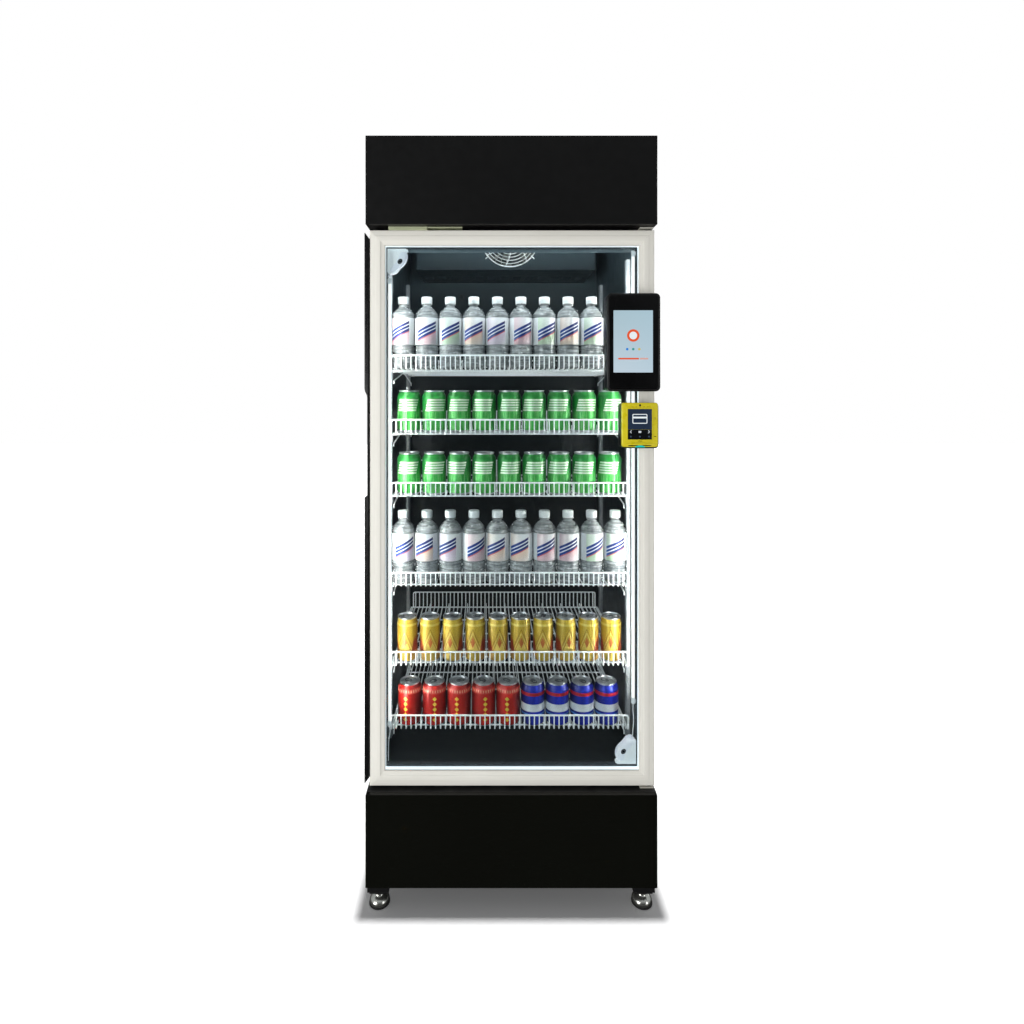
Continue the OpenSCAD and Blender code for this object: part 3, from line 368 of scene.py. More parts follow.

# bottle: clear wall full of liquid, mixed with an opaque layer whose greys are painted light and shade
def bottle_material():
    g = G("mat_bottle")
    o = g.coord()
    n = g.noise(40, 3)
    ripple = g.noise(1.0, 3, 0.55, vec=g.mapping(o, (26, 26, 210)))
    streak = g.noise(1.0, 3, 0.55, vec=g.mapping(o, (120, 120, 20)))
    painted_glint = g.noise(1.0, 2, 0.5, vec=g.mapping(o, (70, 70, 150)))
    nrm = g.bump(g.add(g.mul(ripple, 0.8), g.mul(streak, 0.5)), 0.30, 0.0010)
    lw = g.n("ShaderNodeLayerWeight")
    lw.inputs["Blend"].default_value = 0.32
    body = g.bsdf(color=g.mix(g.rng(n, 0.3, 0.7, 0, 1), C(222, 226, 228), C(238, 240, 241)), rough=0.06, spec=0.7, trans=1.0, ior=1.25, normal=nrm)
    # painted light and shade: light and dark ripples and darker streaks stand in for the refraction
    tone = g.mix(g.rng(ripple, 0.38, 0.62, 0, 1), C(150, 154, 156), C(214, 218, 220))
    tone = g.mix(g.mul(g.rng(streak, 0.46, 0.66, 0, 1), 0.45), tone, C(112, 118, 120))
    # painted glints: small bright highlights
    tone = g.mix(g.rng(painted_glint, 0.60, 0.68, 0, 0.9), tone, C(246, 249, 250))
    # painted shade: darker towards the silhouette
    tone = g.mix(g.math("POWER", g.rng(lw.outputs["Facing"], 0.25, 0.95, 0.0, 0.8), 1.6), tone, C(74, 80, 82))
    painted_tone_shader = g.bsdf(color=tone, rough=0.14, spec=0.7, normal=nrm, coat=0.5, coat_rough=0.05)
    mx_ = g.n("ShaderNodeMixShader")
    g.put(mx_.inputs[0], g.rng(lw.outputs["Facing"], 0.0, 0.9, 0.66, 0.45))
    g.put(mx_.inputs[1], body)
    g.put(mx_.inputs[2], painted_tone_shader)
    return g.done(mx_.outputs[0])


MAT["bottle"] = bottle_material()


def uv_mm(g):
    """Distance round the item from its front, and height, both in mm."""
    s = g.xyz(g.coord("UV"))
    return g.mul(s[0], 100.0), g.mul(s[1], 100.0)


def label_material():
    """Wrap label: white, a plain dark blue slanted band with two pale lines along it, tinted below."""
    g = G("mat_label")
    x, z = uv_mm(g)
    # the print repeats twice round the bottle
    x = g.sub(g.math("PINGPONG", g.add(x, 200.0), 1e6), 200.0)
    per = 2 * math.pi * 32.5 / 2
    x = g.sub(g.math("FLOORED_MODULO", g.add(x, per / 2), per), per / 2)
    zc = g.sub(z, 101.0)                      # from the label's middle
    top_ = g.sub(zc, g.add(g.mul(x, 0.50), 15.0))        # above the block's upper edge when > 0
    bot_ = g.sub(zc, g.add(g.mul(x, 0.50), -12.0))       # above its lower edge when > 0
    tint = g.n("ShaderNodeVertexColor", layer_name="tint").outputs["Color"]
    white = g.mix(g.rng(g.noise(300, 3), 0.3, 0.7, 0, 1), C(240, 240, 241), C(230, 231, 234))
    inx = g.band(x, -27.5, 27.5, 0.8)
    # tinted corner under the block
    below = g.mul(g.inv(g.step(bot_, 0.0, 1.0)), inx)
    top_tint = g.mul(g.mul(g.step(top_, 0.0, 1.0), inx), g.rng(x, 10.0, -28.0, 0.0, 0.42))
    col = g.mix(top_tint, white, tint)
    col = g.mix(g.mul(below, g.rng(bot_, 0.0, -34.0, 0.62, 0.22)), col, tint)
    # thin warm line along the block's lower edge
    col = g.mix(g.mul(g.band(bot_, -2.6, 0.0, 0.7), inx), col, C(206, 92, 96))
    # slanted band with two even pale lines along it
    blk = g.mul(g.mul(g.inv(g.step(top_, 0.0, 0.8)), g.step(bot_, 0.0, 0.8)), inx)
    navy = g.mix(g.rng(x, -26, 26, 0, 1), C(30, 66, 146), C(40, 40, 96))
    col = g.mix(blk, col, navy)
    lines = g.mx(g.band(top_, -10.2, -7.4, 0.7), g.band(top_, -19.6, -16.8, 0.7))
    col = g.mix(g.mul(g.mul(lines, inx), 0.95), col, C(236, 240, 252))
    nrm = g.bump(g.noise(500, 3), 0.12, 0.0004)
    return g.done(g.bsdf(color=col, rough=0.32, spec=0.5, normal=nrm, coat=0.25, coat_rough=0.12))


MAT["label"] = label_material()


def can_print(name, kind):
    g = G(name)
    x, z = uv_mm(g)
    if kind == "green":
        # painted shade: the print darkens towards the sides, away from the front
        base = g.mix(g.rng(g.abs(x), 0, 46, 0, 1), C(66, 190, 78), C(10, 118, 44))
        base = g.mix(g.mul(g.step(z, 92, 16), 0.6), base, C(14, 112, 46))
        # rising fine streaks
        st = g.noise(1.0, 3, 0.6, vec=g.mapping(g.coord("UV"), (46, 1.2, 1)))
        base = g.mix(g.mul(g.mul(g.rng(st, 0.48, 0.62, 0, 1), g.inv(g.step(z, 62, 14))), 0.75), base, C(150, 232, 138))
        # block of slanted pale bars
        xs = g.sub(x, g.mul(g.sub(z, 74), 0.28))
        # even level bars
        bars = g.band(g.math("FLOORED_MODULO", g.sub(z, 57.0), 7.0), 1.2, 5.8, 0.5)
        blk = g.mul(g.band(xs, -29, 29, 0.8), g.band(z, 57, 92, 0.8))
        col = g.mix(g.mul(blk, bars), base, C(232, 248, 222))
        rim = g.step(z, 103, 2.0)
        col = g.mix(g.mul(rim, 0.35), col, C(60, 150, 70))
    elif kind == "gold":
        base = g.mix(g.rng(z, 20, 110, 0, 1), C(206, 166, 68), C(212, 178, 54))
        # painted shade: the print darkens towards the sides, away from the front
        base = g.mix(g.rng(g.abs(x), 20, 44, 0, 0.8), base, C(104, 70, 20))
        # nested pointed arches
        peak = g.add(g.mul(g.abs(x), 2.3), g.sub(z, 92))
        for off, w, colr, a in ((0, 1.6, C(120, 78, 20), 0.8), (-10, 1.2, C(246, 226, 140), 0.8), (-18, 1.2, C(150, 96, 26), 0.7)):
            ln = g.mul(g.band(peak, off - w, off + w, 0.8), g.band(z, 20, 94, 2))
            base = g.mix(g.mul(ln, a), base, colr)
        inner = g.mul(g.inv(g.step(peak, -20, 1.0)), g.step(z, 34, 1.0))
        base = g.mix(g.mul(inner, 0.55), base, C(240, 214, 110))
        # red centre panel and red flanks
        cen = g.mul(g.inv(g.step(g.add(g.mul(g.abs(x), 1.3), g.mul(g.abs(g.sub(z, 56)), 0.55)), 8.2, 1.0)), 1.0)
        base = g.mix(g.mul(cen, 0.85), base, C(196, 86, 44))
        fl = g.mul(g.step(g.sub(g.abs(x), g.mul(z, 0.20)), 13.5, 2.0), g.inv(g.step(z, 66, 20)))
        base = g.mix(g.mul(fl, 0.9), base, C(150, 36, 20))
        low = g.inv(g.step(z, 30, 6))
        base = g.mix(g.mul(low, 0.5), base, C(214, 190, 90))
        # painted highlight: a bright band where the body turns into the shoulder
        painted_highlight_band = g.band(z, 100, 106, 2)
        col = g.mix(g.mul(painted_highlight_band, 0.6), base, C(250, 232, 120))
    elif kind == "red":
        # painted shade: the print darkens towards the sides, away from the front
        base = g.mix(g.rng(g.abs(x), 0, 42, 0, 1), C(212, 38, 26), C(116, 12, 12))
        bnd = g.band(z, 90, 103, 1.6)
        base = g.mix(bnd, base, C(214, 66, 58))
        wv = g.math("SINE", g.mul(x, 2 * math.pi / 7.0))
        dots = g.mul(g.step(wv, 0.1, 0.6), g.band(z, 93, 100, 1.2))
        base = g.mix(g.mul(dots, 0.7), base, C(250, 176, 140))
        # upright column of plain yellow lozenges
        zz = g.sub(g.math("FLOORED_MODULO", g.sub(z, 14.0), 14.0), 7.0)
        dia = g.add(g.abs(x), g.abs(zz))
        shp = g.mul(g.inv(g.step(dia, 6.0, 0.6)), g.band(z, 14, 84, 0.6))
        col = g.mix(shp, base, C(252, 216, 74))
    else:
        # painted shade: the print darkens towards the sides, away from the front
        base = g.mix(g.rng(g.abs(x), 0, 44, 0, 1), C(32, 52, 196), C(8, 14, 84))
        # plain level rings
        base = g.mix(g.band(z, 84, 93, 0.7), base, C(196, 34, 46))
        base = g.mix(g.band(z, 42, 62, 0.7), base, C(236, 238, 240))
        col = g.mix(g.band(z, 32, 36, 0.7), base, C(90, 150, 232))
    # bare metal at the necks
    ends = g.mx(g.inv(g.step(z, 6.0, 0.8)), g.step(z, (117.4 if kind == "gold" else 110.4), 0.8))
    col = g.mix(ends, col, C(196, 200, 204))
    nrm = g.bump(g.noise(260, 2), 0.06, 0.0005)
    r = g.rng(g.noise(80, 3), 0.3, 0.7, 0.34, 0.46)
    return g.done(g.bsdf(color=col, rough=r, metal=g.rng(ends, 0, 1, 0.2, 1.0), spec=0.5, normal=nrm, coat=0.18, coat_rough=0.2))


for k in ("green", "gold", "red", "blue"):
    MAT["can_" + k] = can_print("mat_can_" + k, k)

# ------------------------------------------------------------------ mesh helpers


def put(name, bm, mats, body, repl=(), ang=32, merge=None, recalc=True):
    if merge:
        bmesh.ops.remove_doubles(bm, verts=bm.verts, dist=merge)
    if recalc:
        bmesh.ops.recalc_face_normals(bm, faces=bm.faces)
    lim = math.radians(ang)
    for f in bm.faces:
        f.smooth = True
    for e in bm.edges:
        if len(e.link_faces) == 2:
            e.smooth = e.calc_face_angle(0.0) < lim
    me = bpy.data.meshes.new(name)
    bm.to_mesh(me)
    bm.free()
    for m in mats:
        me.materials.append(MAT[m] if isinstance(m, str) else m)
    ob = bpy.data.objects.new(name, me)
    SC.collection.objects.link(ob)
    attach(ob, body)
    if repl:
        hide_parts(*repl)
    return ob


def V(x, y, z):
    return Vector((x * MM, y * MM, z * MM))


def lathe(bm, prof, cx, cy, cz, seg=48, mi=None, yaw=0.0, uv=None, squeeze=None):
    """Turns a profile of (radius, height) about a vertical axis. squeeze(r, z, angle) may change the radius."""
    rings = []
    for r, z in prof:
        if r < 1e-6:
            rings.append([bm.verts.new(V(cx, cy, cz + z))])
        else:
            ring = []
            for k in range(seg):
                a = 2 * math.pi * (k / seg - 0.5) + yaw
                rr = squeeze(r, z, 2 * math.pi * (k / seg - 0.5)) if squeeze else r
                ring.append(bm.verts.new(V(cx + rr * math.sin(a), cy - rr * math.cos(a), cz + z)))
            rings.append(ring)
    for j in range(len(rings) - 1):
        a, b = rings[j], rings[j + 1]
        za, zb, ra = prof[j][1], prof[j + 1][1], max(prof[j][0], prof[j + 1][0])
        for k in range(seg):
            k2 = (k + 1) % seg
            if len(a) == 1 and len(b) == 1:
                continue
            if len(a) == 1:
                vs, zz, kk = [a[0], b[k2], b[k]], [za, zb, zb], [k + .5, k + 1, k]
            elif len(b) == 1:
                vs, zz, kk = [a[k], a[k2], b[0]], [za, za, zb], [k, k + 1, k + .5]
            else:
                vs, zz, kk = [a[k], a[k2], b[k2], b[k]], [za, za, zb, zb], [k, k + 1, k + 1, k]
            f = bm.faces.new(vs)
            if mi:
                f.material_index = mi[j]
            if uv:
                rad = uv[1]
                for lp, z_, k_ in zip(f.loops, zz, kk):
                    s = (k_ / seg - 0.5) * 2 * math.pi * rad
                    lp[uv[0]].uv = (s / 100, z_ / 100)


def tube(bm, pts, r, seg=8, closed=False, mi=0, cap=True):
    """Sweeps a circle along points given in mm."""
    P = [Vector(p) for p in pts]
    n = len(P)
    rings = []
    prev = None
    for i in range(n):
        if closed:
            t = (P[(i + 1) % n] - P[i - 1]).normalized()
        elif i == 0:
            t = (P[1] - P[0]).normalized()
        elif i == n - 1:
            t = (P[-1] - P[-2]).normalized()
        else:
            t = ((P[i + 1] - P[i]).normalized() + (P[i] - P[i - 1]).normalized()).normalized()
        if prev is None:
            u = t.orthogonal().normalized()
        else:
            u = (prev - t * prev.dot(t))
            u = u.normalized() if u.length > 1e-6 else t.orthogonal().normalized()
        prev = u
        w = t.cross(u)
        rings.append([bm.verts.new((P[i] + u * (r * math.cos(2 * math.pi * k / seg)) + w * (r * math.sin(2 * math.pi * k / seg))) * MM) for k in range(seg)])
    m = n if closed else n - 1
    for i in range(m):
        a, b = rings[i], rings[(i + 1) % n]
        if closed and i == n - 1:
            # line the last ring up with the first
            best = min(range(seg), key=lambda s: (a[0].co - b[s].co).length)
            b = b[best:] + b[:best]
        for k in range(seg):
            f = bm.faces.new([a[k], a[(k + 1) % seg], b[(k + 1) % seg], b[k]])
            f.material_index = mi
    if cap and not closed:
        for ring, flip in ((rings[0], True), (rings[-1], False)):
            f = bm.faces.new(list(reversed(ring)) if flip else ring)
            f.material_index = mi


def arc(c, r, a0, a1, n, plane="xz", other=0.0):
    out = []
    for i in range(n + 1):
        a = math.radians(a0 + (a1 - a0) * i / n)
        p, q = c[0] + r * math.cos(a), c[1] + r * math.sin(a)
        out.append((p, other, q) if plane == "xz" else ((other, p, q) if plane == "yz" else (p, q, other)))
    return out


def rrect(x0, z0, x1, z1, r, n=6):
    """Round-cornered outline in the XZ plane, as (x, z) pairs."""
    pts = []
    for cx, cz, a in ((x1 - r, z0 + r, -90), (x1 - r, z1 - r, 0), (x0 + r, z1 - r, 90), (x0 + r, z0 + r, 180)):
        for i in range(n + 1):
            t = math.radians(a + 90 * i / n)
            pts.append((cx + r * math.cos(t), cz + r * math.sin(t)))
    return pts


def prism(bm, outline, y0, y1, mi=0, bevel=0.0, both=True):
    """Solid plate from an XZ outline between two depths, with a rounded front edge (towards -Y)."""
    layers = []
    if bevel:
        cx = sum(p[0] for p in outline) / len(outline)
        cz = sum(p[1] for p in outline) / len(outline)
        n = len(outline)
        nrm = []
        area = sum(outline[i][0] * outline[(i + 1) % n][1] - outline[(i + 1) % n][0] * outline[i][1] for i in range(n))
        sgn = 1 if area > 0 else -1
        for i in range(n):
            a, b, c = outline[i - 1], outline[i], outline[(i + 1) % n]
            def en(p, q):
                dx, dz = q[0] - p[0], q[1] - p[1]
                l = math.hypot(dx, dz) or 1
                return (dz / l * sgn, -dx / l * sgn)
            n1, n2 = en(a, b), en(b, c)
            mx_, mz_ = n1[0] + n2[0], n1[1] + n2[1]
            l = math.hypot(mx_, mz_) or 1
            k = 1 / max(0.4, (n1[0] * mx_ + n1[1] * mz_) / l)
            nrm.append((mx_ / l * k, mz_ / l * k))
        def inset(d):
            return [(p[0] - q[0] * d, p[1] - q[1] * d) for p, q in zip(outline, nrm)]
        steps = 4
        for i in range(steps + 1):
            t = math.radians(90 * i / steps)
            layers.append((inset(bevel * (1 - math.sin(t))), y0 + bevel * (1 - math.cos(t))))
        if both:
            for i in range(steps + 1):
                t = math.radians(90 * i / steps)
                layers.append((inset(bevel * (1 - math.cos(t))), y1 - bevel * (1 - math.sin(t))))
        else:
            layers.append((outline, y1))
    else:
        layers = [(outline, y0), (outline, y1)]
    rings = [[bm.verts.new(V(x, y, z)) for x, z in o] for o, y in layers]
    n = len(outline)
    for a, b in zip(rings, rings[1:]):
        for k in range(n):
            f = bm.faces.new([a[k], a[(k + 1) % n], b[(k + 1) % n], b[k]])
            f.material_index = mi
    for r in (rings[0], rings[-1]):
        f = bm.faces.new(r)
        f.material_index = mi
    return rings


def boxm(bm, x0, x1, y0, y1, z0, z1, bevel=0.0, mi=0, seg=2):
    r = bmesh.ops.create_cube(bm, size=1.0)
    vs = r["verts"]
    for v in vs:
        v.co = Vector((x0 + (v.co.x + .5) * (x1 - x0), y0 + (v.co.y + .5) * (y1 - y0), z0 + (v.co.z + .5) * (z1 - z0))) * MM
    fs = list({f for v in vs for f in v.link_faces})
    for f in fs:
        f.material_index = mi
    if bevel:
        es = list({e for v in vs for e in v.link_edges})
        res = bmesh.ops.bevel(bm, geom=es, offset=bevel * MM, segments=seg, profile=0.5, affect="EDGES")
        for f in res["faces"]:
            f.material_index = mi


def member(bm, prof, x0, x1, z0, z1, side, gap=0.0, dark=None):
    """One mitred side of a rectangular frame. prof is a closed list of (inset, y)."""
    def corner(d, which):
        return {"bl": (x0 + d, z0 + d), "br": (x1 - d, z0 + d), "tr": (x1 - d, z1 - d), "tl": (x0 + d, z1 - d)}[which]
    ends = {"left": ("bl", "tl"), "right": ("br", "tr"), "bottom": ("bl", "br"), "top": ("tl", "tr")}[side]
    shift = {"left": (0, gap, 0, -gap), "right": (0, gap, 0, -gap), "bottom": (gap, 0, -gap, 0), "top": (gap, 0, -gap, 0)}[side]
    a, b = [], []
    for d, y in prof:
        p, q = corner(d, ends[0]), corner(d, ends[1])
        a.append(bm.verts.new(V(p[0] + shift[0], y, p[1] + shift[1])))
        b.append(bm.verts.new(V(q[0] + shift[2], y, q[1] + shift[3])))
    n = len(prof)
    for k in range(n):
        f = bm.faces.new([a[k], a[(k + 1) % n], b[(k + 1) % n], b[k]])
        if dark is not None and k >= dark:
            f.material_index = 1
    bm.faces.new(a)
    bm.faces.new(b)


def ring(bm, prof, x0, x1, z0, z1, mi=0):
    """Closed mitred ring round a rectangle."""
    loops = []
    for d, y in prof:
        loops.append([bm.verts.new(V(x, y, z)) for x, z in ((x0 + d, z0 + d), (x1 - d, z0 + d), (x1 - d, z1 - d), (x0 + d, z1 - d))])
    n = len(prof)
    for k in range(n):
        a, b = loops[k], loops[(k + 1) % n]
        for c in range(4):
            f = bm.faces.new([a[c], a[(c + 1) % 4], b[(c + 1) % 4], b[c]])
            f.material_index = mi


# ------------------------------------------------------------------ carried-over CAD nodes
def skin(node, mat, bevel=0.0, seg=2, angle=40):
    ob = NODES[node]
    ob.data.materials.clear()
    ob.data.materials.append(MAT[mat])
    if bevel:
        w = ob.modifiers.new("weld", "WELD")
        w.merge_threshold = 1e-5
        b = ob.modifiers.new("edge", "BEVEL")
        b.width = bevel * MM
        b.segments = seg
        b.limit_method = "ANGLE"
        b.angle_limit = math.radians(angle)
        b.harden_normals = False


skin("outer_shell", "black_side", 1.2)
skin("insulation_foam", "foam")
skin("inner_liner", "liner")
skin("breaker_frame", "dark_plastic")
skin("rear_grille", "black_sheet")
skin("header_shell", "black_sheet", 1.2)
skin("header_electronics", "electronics")
skin("base_frame", "black_side", 0.6)
skin("foot_bosses", "black_plastic", 1.0)
skin("compressor", "compressor")
skin("condenser_coil", "black_sheet")
skin("condenser_fan_shroud", "black_plastic")
skin("drip_tray", "black_plastic")
skin("refrigerant_pipes", "copper")
skin("evaporator_cover", "cover")
skin("evaporator_coil", "alu_fin")
skin("evaporator_fan_motor", "grey_plastic")
skin("shelf_pilasters", "pilaster")
skin("shelf_clips", "steel")
skin("top_hinge_bracket", "hinge_steel", 0.5)
skin("bottom_hinge_bracket", "hinge_steel", 0.5)
skin("maglock", "lock", 0.8)
skin("armature_plate", "lock", 0.4)
skin("panel_screws", "screw")
skin("mains_inlet", "black_plastic", 0.6)
skin("evaporator_fan_blade", "grey_plastic")
skin("condenser_fan_blade", "alu_fin")
skin("base_front_panel", "gloss_base", 1.2)
skin("insulating_glass", "glass")
skin("glass_spacer", "spacer")
skin("hinge_bushes", "black_plastic", 0.4)
skin("screen_bracket", "satin_black", 0.5)

# ------------------------------------------------------------------ door frame
PROF = [(0, -275), (0, -311), (0.5, -312.9), (1.4, -314.4), (2.8, -315.3), (4.5, -315.8), (9.5, -316.9), (14.3, -317.6), (15.2, -318.0), (16.0, -318.8), (17.2, -319.1),
        (21, -319.6), (25.5, -319.95), (28.2, -319.8), (29.4, -319.2), (30.2, -318.3), (31.4, -317.9), (34.5, -317.3), (36.4, -316.9), (37.0, -316.6), (38.0, -316.9), (39.2, -316.6),
        (40.3, -315.4), (40.9, -313.6), (41, -311.6), (41, -311.02), (31, -311.02), (31, -292.98), (41, -292.98), (41, -277.2), (39.6, -275.8), (38, -275),
        (29.4, -275), (29.4, -279), (22.6, -279), (22.6, -275)]
DARK_FROM = 27           # profile edges behind the glass are the dark inner lining
for side in ("left", "right", "bottom", "top"):
    bm = bmesh.new()
    member(bm, PROF, DX0, DX1, DZ0, DZ1, side, 0.1, DARK_FROM)
    put("door_frame_" + side, bm, ["frame_z" if side in ("left", "right") else "frame_x", "dark_plastic"], "door", ["door_frame"], ang=14)

# gasket: magnetic bellows in the groove
GP = [(0, -271.5), (1.2, -273.6), (3, -274.9), (3, -277.6), (9, -277.6), (9, -274.9), (11, -273.8), (12.2, -271.8), (10.6, -270.4), (12.6, -269), (11, -267.4), (13, -265.8),
      (13, -263.2), (12, -262.4), (1, -262.4), (0, -263.2), (0, -265.8), (1.8, -267.2), (0.2, -269), (1.6, -270.4)]
bm = bmesh.new()
ring(bm, GP, DX0 + 20, DX1 - 20, DZ0 + 20, DZ1 - 20)
put("door_gasket_bellows", bm, ["gasket"], "door", ["door_gasket"], ang=28)

# ------------------------------------------------------------------ door handle
X0, XI = DX0 - 12.5, DX0 - 0.05
ZB, ZT = DZ0 + 7, DZ1 - 6
outer = [(XI, DZ0 + 24), (XI, DZ1 - 23), (X0 + 1.2, ZT - 1.4), (X0, ZT - 4)]
top = []
gz0, gz1, lip = 1061.0, 1329.0, DX0 - 5.5
for i in range(9):          # upper end of the recess, large radius
    t = math.radians(90 * i / 8)
    top.append((X0 + (lip - X0) * math.sin(t) if i else X0, gz1 + 14 * (1 - math.sin(t)) if False else gz1 + 10 - 14 * math.sin(t) * 0.9))
rec = [(X0, gz1 + 12), (X0 + 0.8, gz1 + 6), (X0 + 2.2, gz1 + 1.5), (X0 + 4.2, gz1 - 2.5), (X0 + 6.2, gz1 - 7), (lip, gz1 - 13),
       (lip, gz0 + 6), (lip - 0.8, gz0 + 3), (lip - 2.6, gz0 + 0.8), (X0 + 1.5, gz0), (X0, gz0 - 1.5)]
low = [(X0, ZB + 4), (X0 + 1.2, ZB + 1.6)]
poly = outer + rec + low
bm = bmesh.new()
prism(bm, poly, YD0 + 2, YD1 - 3, bevel=1.1)
# two fine ribs along the face
for xr in (X0 + 4.4, X0 + 8.2):
    for za, zb in ((ZB + 14, gz0 - 8), (gz1 + 18, ZT - 12)):
        boxm(bm, xr - 0.35, xr + 0.35, YD0 + 1.6, YD0 + 2.3, za, zb, 0.15)
put("door_handle_profile", bm, ["handle"], "door", ["door_handle"], ang=30)

# ------------------------------------------------------------------ lamps on the door
LAMPS = [(GX0 + 5.5, 449, 1631), (GX1 - 5.5, 510, 1703)]
bm = bmesh.new()
for x, a, b in LAMPS:
    lathe(bm, [(0, a + 16), (4.3, a + 16), (4.3, b - 16), (0, b - 16)], x, YD1 - 3, 0, 20)
put("lamp_tubes", bm, ["lamp"], "door", ["led_tubes"], ang=40)
bm = bmesh.new()
for i, (x, a, b) in enumerate(LAMPS):
    s = -1 if i == 0 else 1
    for z, up in ((a, 1), (b - 15.95, 0)):
        pr = [(0, 0), (3.9, 0), (4.8, 0.8), (5.2, 2.2), (5.2, 11.5), (4.9, 12.2), (4.9, 15.9), (4.3, 15.95), (0, 15.95)]
        if not up:
            pr = [(r, 15.95 - q) for r, q in reversed(pr)]
        lathe(bm, pr, x, YD1 - 3, z, 24)
        xw = x + s * 5.45
        boxm(bm, min(x + s * 3.5, xw), max(x + s * 3.5, xw), YD1 - 8, YD1 - 0.5, z + 3, z + 13, 0.6)
# lead from the right tube to the lower camera
pts = [(GX1 - 5.5, YD1 - 3, 510), (GX1 - 6.3, YD1 - 4, 494), (GX1 - 5.2, YD1 - 6, 478), (GX1 - 5.5, YD1 - 7, 460), (GX1 - 7.5, YD1 - 8, 444), (GX1 - 8.5, YD1 - 9, 430)]
tube(bm, pts, 1.1, 8)
pts = [(GX0 + 5.5, YD1 - 3, 449), (GX0 + 6.2, YD1 - 3, 436), (GX0 + 4.2, YD1 - 2.5, 424), (GX0 + 2.4, YD1 - 1.5, 410), (GX0 + 1.8, YD1 - 1.5, 380), (GX0 + 1.8, YD1 - 1.5, 358)]
tube(bm, pts, 1.0, 8)
put("lamp_end_caps", bm, ["white_plastic"], "door", ["led_end_caps"], ang=35)


# ------------------------------------------------------------------ corner cameras
def smooth_loop(pts, n=5):
    """Closed Catmull-Rom curve through the points."""
    out = []
    m = len(pts)
    for i in range(m):
        p0, p1, p2, p3 = (Vector(pts[(i + k - 1) % m]) for k in range(4))
        for j in range(n):
            t = j / n
            q = 0.5 * ((2 * p1) + (p2 - p0) * t + (2 * p0 - 5 * p1 + 4 * p2 - p3) * t * t + (3 * p1 - p0 - 3 * p2 + p3) * t ** 3)
            out.append((q.x, q.y))
    return out


POD = smooth_loop([(-49, 3.5), (-55.5, 8), (-58.3, 17), (-57.3, 28), (-53.3, 38), (-46.3, 47), (-38, 54.5), (-31, 63), (-24.5, 70.5), (-16, 74.2), (-7, 74.2),
                   (-3.5, 70), (-7, 62), (-15, 53), (-24, 42), (-31, 31), (-36.5, 20), (-40.5, 9)], 4)
POD = [(x * 0.875 + 0.4, z * 0.875 - 0.4) for x, z in POD]


def camera(bm, cx, cz, s):
    """Corner housing: s is +1 for the lower right corner and -1 for the upper left."""
    def tr(x, z):
        return (cx + s * x, cz + s * z)
    y = GY1 + 0.15
    plate = [(0.4, -0.4), (-44.5, -0.4), (-46, 1), (-45.5, 8), (-42, 15), (-34, 25), (-25, 38), (-16, 50), (-9, 58), (-6, 62), (-1.5, 62.5), (0.4, 61)]
    prism(bm, [tr(*p) for p in plate], y + 1.2, y + 8, mi=0, bevel=1.6)
    mid = (-26.5, 33.5)
    rings = []
    for k, (sc, dy) in enumerate(((0.30, 0.1), (0.62, 0.35), (0.80, 1.1), (0.91, 2.6), (0.975, 5.0), (1.0, 8.5), (1.0, 22), (0.97, 25), (0.90, 26.7))):
        rings.append([bm.verts.new(V(*(lambda p: (p[0], y + dy, p[1]))(tr(mid[0] + (q[0] - mid[0]) * sc, mid[1] + (q[1] - mid[1]) * sc)))) for q in POD])
    n = len(POD)
    for a, b in zip(rings, rings[1:]):
        for k in range(n):
            f = bm.faces.new([a[k], a[(k + 1) % n], b[(k + 1) % n], b[k]])
            f.material_index = 1
    for r in (rings[0], rings[-1]):
        f = bm.faces.new(r)
        f.material_index = 1
    # lugs
    for px, pz, r in ((-50.0, 5.2, 3.9), (-46.8, 2.4, 3.2), (-4.8, 62.0, 3.4)):
        q = tr(px, pz)
        prism(bm, [(q[0] + r * math.cos(2 * math.pi * i / 20), q[1] + r * math.sin(2 * math.pi * i / 20)) for i in range(20)], y + 1.5, y + 12, mi=0, bevel=1.2)
    return tr(-33.0, 33.6), y


bm = bmesh.new()
cams = [camera(bm, GX1 - 1.5, GZ0 + 1.5, 1), camera(bm, GX0 + 1.5, GZ1 - 1.5, -1)]
put("corner_camera_housings", bm, ["white_plastic", "pod_plastic_painted_glow"], "door", ["door_cameras"], ang=38)
bm = bmesh.new()
for (cx, cz), y in cams:
    n = 32
    # raised collar, dark tilted lens and its inner ring
    for ra, rb, dy0, dy1, mi in ((8.8, 7.0, -0.02, 1.6, 2), (7.6, 5.9, -0.06, 0.9, 0), (5.4, 4.2, -0.10, 0.6, 1), (2.6, 2.2, -0.12, 0.3, 0)):
        out = []
        for i in range(n):
            t = 2 * math.pi * i / n
            u, w_ = ra * math.cos(t), rb * math.sin(t)
            a = math.radians(52)
            out.append((cx + u * math.cos(a) - w_ * math.sin(a), cz + u * math.sin(a) + w_ * math.cos(a)))
        prism(bm, out, y + dy0, y + dy1, mi=mi, bevel=0.25)
put("corner_camera_lenses", bm, ["lens", "grey_plastic", "pod_plastic_painted_glow"], "door", ["door_cameras"], ang=35)

# ------------------------------------------------------------------ touchscreen
sx0, sx1, sz0, sz1 = 237.0, 370.0, 1332.0, 1577.0
yh = YD0 - 46
bm = bmesh.new()
prism(bm, rrect(sx0, sz0, sx1, sz1, 12, 8), yh, YD0 - 6.1, bevel=3.0)
put("screen_housing_shell", bm, ["satin_black"], "door", ["screen_housing"], ang=30)
bm = bmesh.new()
prism(bm, rrect(sx0 + 5.2, sz0 + 5.2, sx1 - 5.2, sz1 - 5.2, 8.5, 8), yh - 0.45, yh + 1.0, bevel=0.35)
put("screen_cover_glass", bm, ["panel_glass"], "door", ["screen_panel"], ang=30)
